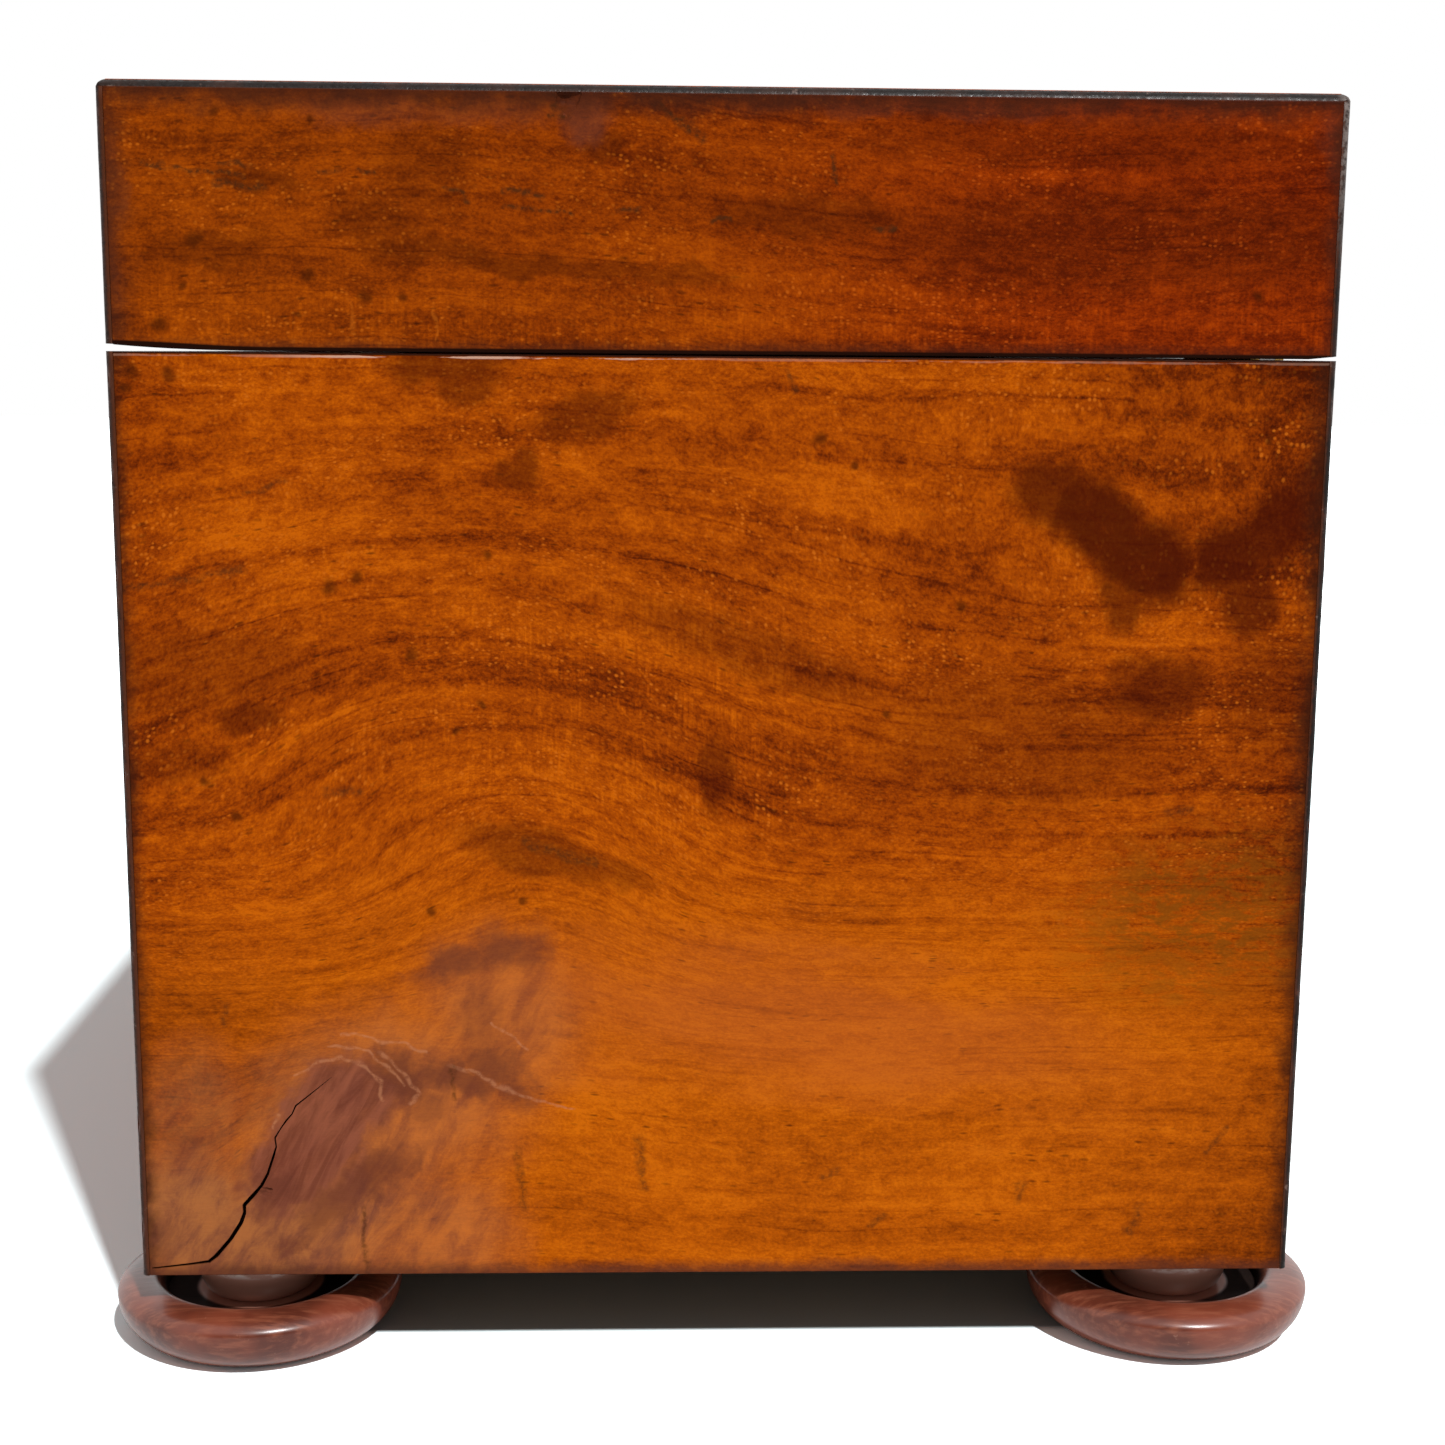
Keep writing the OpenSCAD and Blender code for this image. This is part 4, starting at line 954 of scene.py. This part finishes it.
def straightenJoint(piece):
    # the lid's lower edge only lifts away close to its corner
    most = joint["most"]
    shape = bmesh.new()
    shape.from_mesh(piece.data)
    for along in joint["levels"]:
        halve(shape, (0.0, along * mm, 0.0), (0.0, 1.0, 0.0))
    for vert in shape.verts:
        rise = vert.co.z / mm - lidLow
        if 0.0 < rise < joint["reach"] and vert.co.y < joint["past"] * mm:
            lifted = max(0.0, (joint["from"] - vert.co.y / mm) / joint["run"]) * most
            late = lifted * (lifted / most) ** joint["bend"]
            vert.co.z = (lidLow + min(rise, late + max(0.0, rise - lifted))) * mm
    shape.to_mesh(piece.data)
    shape.free()


worn = [
    # material, slot, body, how far the edges are rubbed in millimetres, and the parts
    (wood["rightEnd"], "case_wood", "case", 0.12, "right_end_board"),
    (wood["leftEnd"], "case_wood", "case", 0.12, "left_end_board"),
    (wood["long"], "case_wood", "case", 0.12, "front_board", "back_board"),
    (wood["lidRightEnd"], "case_wood", "lid", 0.12, "lid_right_rail"),
    (wood["leftEnd"], "case_wood", "lid", 0.12, "lid_left_rail"),
    (wood["long"], "case_wood", "lid", 0.12, "lid_front_rail", "lid_back_rail"),
    (wood["top"], "case_wood", "lid", 0.15, "lid_top_panel"),
    (finish["liningEnd"], "lining_wood", "case", 0.35, "partition"),
    (finish["base"], "lining_wood", "case", 0.30, "base_board"),
    (finish["liningLong"], "lining_wood", "case", 0.30, "front_lining", "back_lining"),
    (finish["liningEnd"], "lining_wood", "case", 0.30, "left_end_lining", "right_end_lining"),
    (finish["brass"], "brass", "case", 0.10, "lock_plate"),
    (finish["brass"], "brass", "lid", 0.12, "link_plate"),
    (finish["brass"], "brass", "case", 0.08, "keyhole_escutcheon"),
]
# dents: place, half sizes and seed
crackChip = (107.6, -49.0, 19.6), (0.35, 0.9, 0.6), 3.0
rimDent = (107.7, -16.0, 134.0), (0.6, 1.5, 1.9), 5.0


def makeWornPart(nodeName, material, slot, body, rub):
    piece = pieceFrom(mergedCopy(nodeName), "worn_" + nodeName, material)
    bevel = piece.modifiers.new("rub", "BEVEL")
    bevel.width = rub * mm
    bevel.segments = 2
    bevel.limit_method = "ANGLE"
    bevel.angle_limit = math.radians(50)
    applyModifiers(piece)
    if nodeName == "right_end_board":
        cutBy(piece, crackShape(), "crack")
        cutBy(piece, dentShape(*crackChip), "crackChip")
    if nodeName == "lid_right_rail":
        straightenJoint(piece)
        cutBy(piece, dentShape(*rimDent), "rimDent")
    standIn(piece, slot, body, nodeName)


for material, slot, body, rub, *parts in worn:
    for nodeName in parts:
        makeWornPart(nodeName, material, slot, body, rub)
print("caddy: worn parts made")


stringing = {
    # all in millimetres
    "step": 1.3,  # spacing of the cuts along a string
    "outer": 0.10,  # only what lies further out from the string's middle is rubbed
    "rub": 0.20,  # greatest rubbing of the outer corner
    "wave": 0.045,  # slow waves in the rubbing
    "nick": 0.6,  # depth of the nicks, and how few of them show
    "few": 0.22,
    "ends": 2.0,  # length over which the rubbing fades at both ends
    "topRound": 1.25,  # radius of the lid's upper edges
}


def roundTop(shape):
    # years of handling have rounded the lid's upper edges
    reach = stringing["topRound"]
    for vert in shape.verts:
        for axis, edge in ((0, halfLength), (1, halfDepth)):
            out, up = abs(vert.co[axis]) / mm - edge + reach, vert.co.z / mm - lidTop + reach
            away = math.hypot(out, up)
            if out > 0.0 and up > 0.0 and away > reach:
                vert.co[axis] = math.copysign((edge - reach + out * reach / away) * mm, vert.co[axis])
                vert.co.z = (lidTop - reach + up * reach / away) * mm


def makeWornStrings():
    # the ebonised strings, each rubbed and nicked along its outer corner
    for nodeName in nodes:
        if "string_" not in nodeName:
            continue
        shape = mergedCopy(nodeName)
        low, high = (Vector([pick(vert.co[axis] for vert in shape.verts) for axis in range(3)])
                     for pick in (min, max))
        middle = (low + high) / 2
        longest = max(range(3), key=lambda axis: high[axis] - low[axis])
        normal = Vector([1.0 if axis == longest else 0.0 for axis in range(3)])
        count = int((high[longest] - low[longest]) / (stringing["step"] * mm))
        for index in range(1, count):
            halve(shape, low + (high - low) * index / count, normal)
        outward = Vector([0.0 if axis == longest else math.copysign(1.0, middle[axis]) for axis in range(3)])
        if nodeName.startswith("lid_edge"):
            outward.z = 1.0
        outward.normalize()
        for vert in shape.verts:
            if (vert.co - middle).dot(outward) < stringing["outer"] * mm:
                continue
            along = vert.co[longest] / mm
            soft = noise.noise(Vector((along * 0.35, middle.y * 60, middle.x * 60)))
            spot = Vector((along * 0.8, middle.x * 90, middle.y * 90))
            nick = max(0.0, noise.noise(spot) - stringing["few"])
            fromEnd = min(vert.co[longest] - low[longest], high[longest] - vert.co[longest])
            ends = max(0.0, min(1.0, fromEnd / (stringing["ends"] * mm)))
            depth = min(stringing["rub"], stringing["wave"] * (soft + 0.6) + nick * stringing["nick"])
            vert.co -= outward * depth * mm * ends
        body = "lid" if nodeName.startswith("lid") else "case"
        if body == "lid":
            roundTop(shape)
        piece = pieceFrom(shape, "worn_" + nodeName, finish["ebony"])
        smoothen(piece, 45)
        standIn(piece, "ebonised_string", body, nodeName)


makeWornStrings()
print("caddy: strings made")


def geometryTree(name, takes):
    # a Geometry Nodes tree with one geometry in and one out, and named inputs of the given kinds
    tree = bpy.data.node_groups.new(name, "GeometryNodeTree")
    tree.interface.new_socket("Geometry", in_out="INPUT", socket_type="NodeSocketGeometry")
    for label, kind in takes.items():
        tree.interface.new_socket(label, in_out="INPUT", socket_type="NodeSocket" + kind)
    tree.interface.new_socket("Geometry", in_out="OUTPUT", socket_type="NodeSocketGeometry")
    w = Wiring(tree)
    return tree, w, w.node("NodeGroupInput").outputs, w.node("NodeGroupOutput").inputs


def runTree(piece, tree, values):
    made = piece.modifiers.new("make", "NODES")
    made.node_group = tree
    for item in tree.interface.items_tree:
        if item.in_out == "INPUT" and item.name in values:
            made[item.identifier] = values[item.name]
    applyModifiers(piece)


def finishTree(w, geometry, material, smooth=True):
    real = w.made("GeometryNodeRealizeInstances", {0: geometry})[0]
    shaded = w.made("GeometryNodeSetShadeSmooth", {"Geometry": real, "Shade Smooth": smooth})[0]
    return w.made("GeometryNodeSetMaterial", {"Geometry": shaded, "Material": material})[0]


def moved(w, geometry, up):
    return w.made("GeometryNodeTransform", {"Geometry": geometry, "Translation": w.vector(0.0, 0.0, up)})[0]


def makeTurningTree():
    # spins a profile (x away from the axis, y up) and sets copies of it in a rectangle
    tree, w, taken, given = geometryTree("turnedSet", {
        "Segments": "Int", "Count Along": "Int", "Count Across": "Int", "Spread Along": "Float",
        "Spread Across": "Float", "Material": "Material"})
    spline = w.made("GeometryNodeMeshToCurve", {0: taken["Geometry"]})[0]
    circle = w.made("GeometryNodeCurvePrimitiveCircle", {
        "Resolution": taken["Segments"], "Radius": 0.1 * mm})[0]
    spun = w.made("GeometryNodeCurveToMesh", {"Curve": circle, "Profile Curve": spline})[0]
    merged = w.made("GeometryNodeMergeByDistance", {"Geometry": spun, "Distance": 0.01 * mm})[0]
    grid = w.made("GeometryNodeMeshGrid", {
        "Size X": taken["Spread Along"], "Size Y": taken["Spread Across"], "Vertices X": taken["Count Along"],
        "Vertices Y": taken["Count Across"]})["Mesh"]
    copies = w.made("GeometryNodeInstanceOnPoints", {"Points": grid, "Instance": merged})[0]
    w.give(given, {0: finishTree(w, copies, taken["Material"])})
    return tree


def arc(centreX, centreY, radiusX, radiusY, start, end, steps):
    angles = [math.radians(start + (end - start) * index / steps) for index in range(steps + 1)]
    return [(centreX + radiusX * math.cos(angle), centreY + radiusY * math.sin(angle)) for angle in angles]


def turnedPiece(name, profile, values):
    # the profile is in millimetres, from the foot up; the spin starts a tenth of one out
    shape = bmesh.new()
    chain = [shape.verts.new(((x - 0.1) * mm, -y * mm, 0.0)) for x, y in profile]
    for first, second in zip(chain, chain[1:]):
        shape.edges.new((first, second))
    piece = pieceFrom(shape, name, finish["turned"])
    runTree(piece, turningTree, {"Segments": 96, "Material": finish["turned"], **values})
    mesh = piece.data
    whole = bmesh.new()
    whole.from_mesh(mesh)
    bmesh.ops.recalc_face_normals(whole, faces=whole.faces)
    whole.to_mesh(mesh)
    whole.free()
    mesh.set_sharp_from_angle(angle=math.radians(40))
    return piece


turningTree = makeTurningTree()

# sizes of the turned profiles in millimetres
footSizes = {"radius": 15.8, "sole": 11.0, "widest": 4.9, "crest": 12.2, "ring": 6.6, "slope": 1.8,
             "groove": 4.4, "neck": 6.8, "bulge": 1.6, "height": 10.0, "tenon": 3.5, "tenonTop": 14.5}


def makeFeet():
    size = footSizes
    sole, widest, crest, ring, groove = (size[name] for name in ("sole", "widest", "crest", "ring", "groove"))
    height, tenon, top, bulge = size["height"], size["tenon"], size["tenonTop"], size["bulge"]
    root = size["neck"] - bulge
    profile = [(0.0, 0.15), (sole - 2.0, 0.15), (sole - 1.6, 0.0)]
    profile += arc(sole, widest, size["radius"] - sole, widest, -90, 0, 20)
    profile += arc(crest, widest, size["radius"] - crest, ring - widest, 6, 90, 18)
    profile += arc(crest, groove, size["slope"], ring - groove, 95, 180, 14)
    profile += [(root, groove)]
    profile += arc(root, (height + groove) / 2, bulge, (height - groove) / 2, -75, 75, 18)
    profile += [(root, height), (tenon, height), (tenon, top), (0.0, top)]
    feet = turnedPiece("turnedFeet", profile, {
        "Count Along": 2, "Count Across": 2, "Spread Along": 2 * footX * mm, "Spread Across": 2 * footY * mm})
    standIn(feet, "turned_wood", "case", "foot_front_left", "foot_front_right", "foot_back_left",
            "foot_back_right")


knobSizes = {"height": 8.6, "radius": 5.0, "button": 4.6, "neck": 2.4, "collar": 4.2, "collarTop": 1.2,
             "tenon": 1.8, "tenonLow": -5.0}


def makeKnobs():
    size = knobSizes
    collar, low, tenon, half = size["collar"], size["collarTop"] / 2, size["tenon"], size["button"] / 2
    middle = size["height"] - half
    profile = [(0.0, size["tenonLow"]), (tenon, size["tenonLow"]), (tenon, 0.0), (collar, 0.0)]
    profile += arc(collar, low, low, low, -60, 90, 8)
    profile += arc(collar, middle, collar - size["neck"], middle - size["collarTop"], -95, -165, 12)
    profile += arc(0.0, middle, size["radius"], half, -50, 88, 22)
    profile += [(0.0, size["height"])]
    for side in ("left", "right"):
        knob = turnedPiece(side + "Knob", profile, {
            "Count Along": 1, "Count Across": 1, "Spread Along": 0.0, "Spread Across": 0.0})
        start, end = (Vector(corner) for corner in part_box(side + "_inner_lid_knob"))
        centre = (start + end) / 2
        knob.data.transform(Matrix.Translation((centre.x, centre.y, end.z - size["height"] * mm)))
        standIn(knob, "turned_wood", "inner_lid_" + side, side + "_inner_lid_knob")


def makeScrewTree():
    # countersunk screws on the points of a mesh, pointing along each point's turn, slots at random
    tree, w, taken, given = geometryTree("screwSet", {
        "Head Radius": "Float", "Head Depth": "Float", "Shank Radius": "Float", "Length": "Float",
        "Slot Width": "Float", "Slot Depth": "Float", "Seed": "Int", "Material": "Material"})
    head = w.made("GeometryNodeMeshCone", {
        "Vertices": 40, "Radius Top": taken["Head Radius"], "Radius Bottom": taken["Shank Radius"],
        "Depth": taken["Head Depth"]})[0]
    shank = w.made("GeometryNodeMeshCone", {
        "Vertices": 24, "Radius Top": taken["Shank Radius"], "Depth": taken["Length"],
        "Radius Bottom": w.times(taken["Shank Radius"], 0.4)})[0]
    slot = w.made("GeometryNodeMeshCube", {
        "Size": w.vector(w.times(taken["Head Radius"], 4.0), taken["Slot Width"],
                         w.times(taken["Slot Depth"], 2.0))})[0]
    sunk = moved(w, head, w.times(taken["Head Depth"], -1.0))
    cut = w.made("GeometryNodeMeshBoolean", {"Mesh 1": sunk, "Mesh 2": slot}, operation="DIFFERENCE")[0]
    joined = w.node("GeometryNodeJoinGeometry")
    w.feed(joined, {0: moved(w, shank, w.times(taken["Length"], -1.0))})
    w.feed(joined, {0: cut})
    turn = w.made("GeometryNodeInputNamedAttribute", {"Name": "turn"}, data_type="FLOAT_VECTOR")["Attribute"]
    spin = w.made("FunctionNodeRandomValue", {3: math.pi, "Seed": taken["Seed"]}, data_type="FLOAT")[1]
    away = w.made("FunctionNodeEulerToRotation", {0: turn})[0]
    own = w.made("FunctionNodeEulerToRotation", {0: w.vector(0.0, 0.0, spin)})[0]
    both = w.made("FunctionNodeRotateRotation", {0: away, 1: own}, rotation_space="LOCAL")[0]
    copies = w.made("GeometryNodeInstanceOnPoints", {
        "Points": taken["Geometry"], "Instance": joined.outputs[0], "Rotation": both})[0]
    w.give(given, {0: finishTree(w, copies, taken["Material"], False)})
    return tree


screwSizes = {"Head Radius": 1.6 * mm, "Head Depth": 0.7 * mm, "Shank Radius": 0.8 * mm, "Length": 6.5 * mm,
              "Slot Width": 0.5 * mm, "Slot Depth": 0.4 * mm}
hingeAt, hingeStep, hingeBack = 62.5, 11.0, 59.0
hingeRow = [side * hingeAt + step * hingeStep for side in (-1, 1) for step in (-1, 0, 1)]
lockFront, lockRow, linkRow = -56.5, (-16.5, 16.5), (-12.0, 12.0)
screwPlaces = {
    # part: body, seed and every screw's place and turn about X in degrees
    "case_hinge_screws": ("case", 3, [(x, hingeBack, caseTop, 0) for x in hingeRow]),
    "lid_hinge_screws": ("lid", 5, [(x, hingeBack, lidLow, 180) for x in hingeRow]),
    "lock_screws": ("case", 7, [(x, lockFront, caseTop, 0) for x in lockRow]
                    + [(x, lockFront + 3.0, 95.2, -90) for x in lockRow]),
    "link_screws": ("lid", 9, [(x, lockFront, lidLow + 0.6, 180) for x in linkRow]),
}


def makeScrews():
    tree = makeScrewTree()
    for nodeName, (body, seed, places) in screwPlaces.items():
        mesh = bpy.data.meshes.new(nodeName)
        mesh.from_pydata([Vector(place[:3]) * mm for place in places], [], [])
        turns = mesh.attributes.new("turn", "FLOAT_VECTOR", "POINT")
        for index, place in enumerate(places):
            turns.data[index].vector = (math.radians(place[3]), 0.0, 0.0)
        piece = newObject("slotted_" + nodeName, mesh)
        runTree(piece, tree, {**screwSizes, "Seed": seed, "Material": finish["brass"]})
        standIn(piece, "brass", body, nodeName)


makeFeet()
makeKnobs()
makeScrews()
print("caddy: turned parts and screws made")


def makeVelvetLining():
    # velvet glued over card: flat against the lid, softly crowned below
    low, high = (Vector(corner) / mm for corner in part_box("lid_lining"))
    countX, countY = (int((high[axis] - low[axis]) / velvet["step"]) for axis in (0, 1))
    shape = bmesh.new()

    def spot(i, j, under):
        x = low.x + (high.x - low.x) * i / countX
        y = low.y + (high.y - low.y) * j / countY
        if not under:
            return shape.verts.new(Vector((x, y, high.z)) * mm)
        inset = min(x - low.x, high.x - x, y - low.y, high.y - y)
        roll = min(1.0, inset / velvet["roll"])
        depth = (high.z - low.z - velvet["crown"]) * (0.25 + 0.75 * math.sqrt(1 - (1 - roll) ** 2))
        across = math.sin(math.pi * i / countX) * math.sin(math.pi * j / countY)
        pucker = velvet["pucker"] * (noise.noise(Vector((x / 7, y / 7, 3.0))) - 0.2) * roll
        return shape.verts.new(Vector((x, y, high.z - depth - velvet["crown"] * across * 0.7 + pucker)) * mm)

    under = [[spot(i, j, True) for j in range(countY + 1)] for i in range(countX + 1)]
    above = [[spot(i, j, False) for j in range(countY + 1)] for i in range(countX + 1)]
    for i in range(countX):
        for j in range(countY):
            shape.faces.new((under[i][j], under[i][j + 1], under[i + 1][j + 1], under[i + 1][j]))
            shape.faces.new((above[i][j], above[i + 1][j], above[i + 1][j + 1], above[i][j + 1]))
    sides = [(i, j, i + 1, j, j == 0) for i in range(countX) for j in (0, countY)]
    sides += [(i, j, i, j + 1, i == countX) for j in range(countY) for i in (0, countX)]
    for i, j, nextI, nextJ, outward in sides:
        face = (under[i][j], under[nextI][nextJ], above[nextI][nextJ], above[i][j])
        shape.faces.new(face if outward else face[::-1])
    bmesh.ops.recalc_face_normals(shape, faces=shape.faces)
    piece = pieceFrom(shape, "velvetLining", finish["velvet"])
    smoothen(piece, 60)
    standIn(piece, "velvet", "lid", "lid_lining")


makeVelvetLining()

kept = {"brass": "brass", "steel": "steel", "inner_lid_wood": "innerLid", "turned_wood": "turned"}
for name, part in nodes.items():
    slotName = part.material_slots[0].material.name
    if slotName in kept:
        part.material_slots[0].material = finish[kept[slotName]]
print("caddy: lining made and finishes given to the other parts")


studio = {
    "floorHalf": 3.0,
    "floorColour": (0.90, 0.90, 0.90),
    "floorSeen": (1.96, 2.23, 2.29),  # the same floor as the camera is exposed for it
    "paintedUnderShade": 0.22,  # painted shade: the floor is coloured darker where the case's deepest shadow falls
    "paintedShadeLength": (0.1015, 0.1000),  # where that fades, in metres from the middle
    "paintedShadeDepth": (0.0625, 0.0600),
    "clear": (0.28, 0.50),  # where the floor turns plain white
    "worldLight": 0.21,  # what lights the object from all round
    "dimSide": 0.08,  # what gloss sees of the room towards the right end
    "keyStrength": 2.75,
    "keyElevation": 52.4,
    "keyTurn": 23.5,
    "keyAngle": 2.6,
}


def makeFloor():
    half = studio["floorHalf"]
    corners = [(-half, -half, 0), (half, -half, 0), (half, half, 0), (-half, half, 0)]
    mesh = bpy.data.meshes.new("studioFloor")
    mesh.from_pydata(corners, [], [(0, 1, 2, 3)])
    floor = newObject("studioFloor", mesh)
    material, w, surface = newMaterial("studioFloor")
    x, y = w.split(objectPlace(w))[:2]
    clear = w.ramp(w.length(x, y), *studio["clear"])
    seen = w.node("ShaderNodeLightPath").outputs["Is Camera Ray"]
    # painted shade: the floor's colour is darkened under the case, standing in for its deepest shadow
    under = w.times(w.ramp(w.apart(x), *studio["paintedShadeLength"]), w.ramp(w.apart(y), *studio["paintedShadeDepth"]))
    exposed = w.tint(seen, studio["floorColour"], studio["floorSeen"])
    w.feed(surface, {
        "Base Color": w.shift("SCALE", exposed, w.mix(under, 1.0, studio["paintedUnderShade"])),
        "Roughness": 0.9,
        "Specular IOR Level": 0.0,
        "Emission Color": (1.0, 1.0, 1.0, 1.0),
        "Emission Strength": w.times(clear, seen),
    })
    mesh.materials.append(material)


def makeWorld():
    world = bpy.data.worlds.new("studio")
    bpy.context.scene.world = world
    world.use_nodes = True
    w = Wiring(world.node_tree)
    path = w.node("ShaderNodeLightPath").outputs
    camera, glossy, through = (path["Is %s Ray" % kind] for kind in ("Camera", "Glossy", "Transmission"))
    # the room is white, but dim behind the camera, where gloss on the right end looks
    ahead = w.shift("DOT_PRODUCT", w.node("ShaderNodeTexCoord").outputs["Generated"], (0.99, 0.0, 0.14))
    gloss = w.times(glossy, w.ramp(ahead, 0.62, 0.90, 1.0, studio["dimSide"]))
    shown = w.mix(w.most(camera, glossy, through), studio["worldLight"], w.most(camera, gloss, through))
    w.feed(world.node_tree.nodes["Background"], {"Color": (1.0, 1.0, 1.0, 1.0), "Strength": shown})


def makeKey():
    data = bpy.data.lights.new("keySun", "SUN")
    data.energy = studio["keyStrength"]
    data.angle = math.radians(studio["keyAngle"])
    towards = pointUp(studio["keyElevation"], studio["keyTurn"])
    newObject("keySun", data).rotation_euler = towards.to_track_quat("Z", "Y").to_euler()


view = {
    "place": (0.3271, -0.0076, 0.1092),
    "lens": 53.27,
    "down": 9.88,  # degrees below level, turned towards the back, and rolled
    "turn": 1.94,
    "roll": 0.47,
}


def makeCamera():
    data = bpy.data.cameras.new("camera")
    data.lens = view["lens"]
    data.sensor_width = 36.0
    data.clip_start = 0.01
    camera = newObject("camera", data)
    turn, roll = math.radians(view["turn"]), math.radians(view["roll"])
    behind = pointUp(view["down"], -view["turn"])
    right = Vector((math.sin(turn), math.cos(turn), 0.0))
    above = behind.cross(right)
    rightRolled = right * math.cos(roll) + above * math.sin(roll)
    aboveRolled = above * math.cos(roll) - right * math.sin(roll)
    axes = Matrix((rightRolled, aboveRolled, behind)).transposed().to_4x4()
    camera.matrix_world = Matrix.Translation(view["place"]) @ axes
    bpy.context.scene.camera = camera


makeFloor()
makeWorld()
makeKey()
makeCamera()
bpy.context.scene.view_settings.view_transform = "Standard"
print("caddy: studio ready")
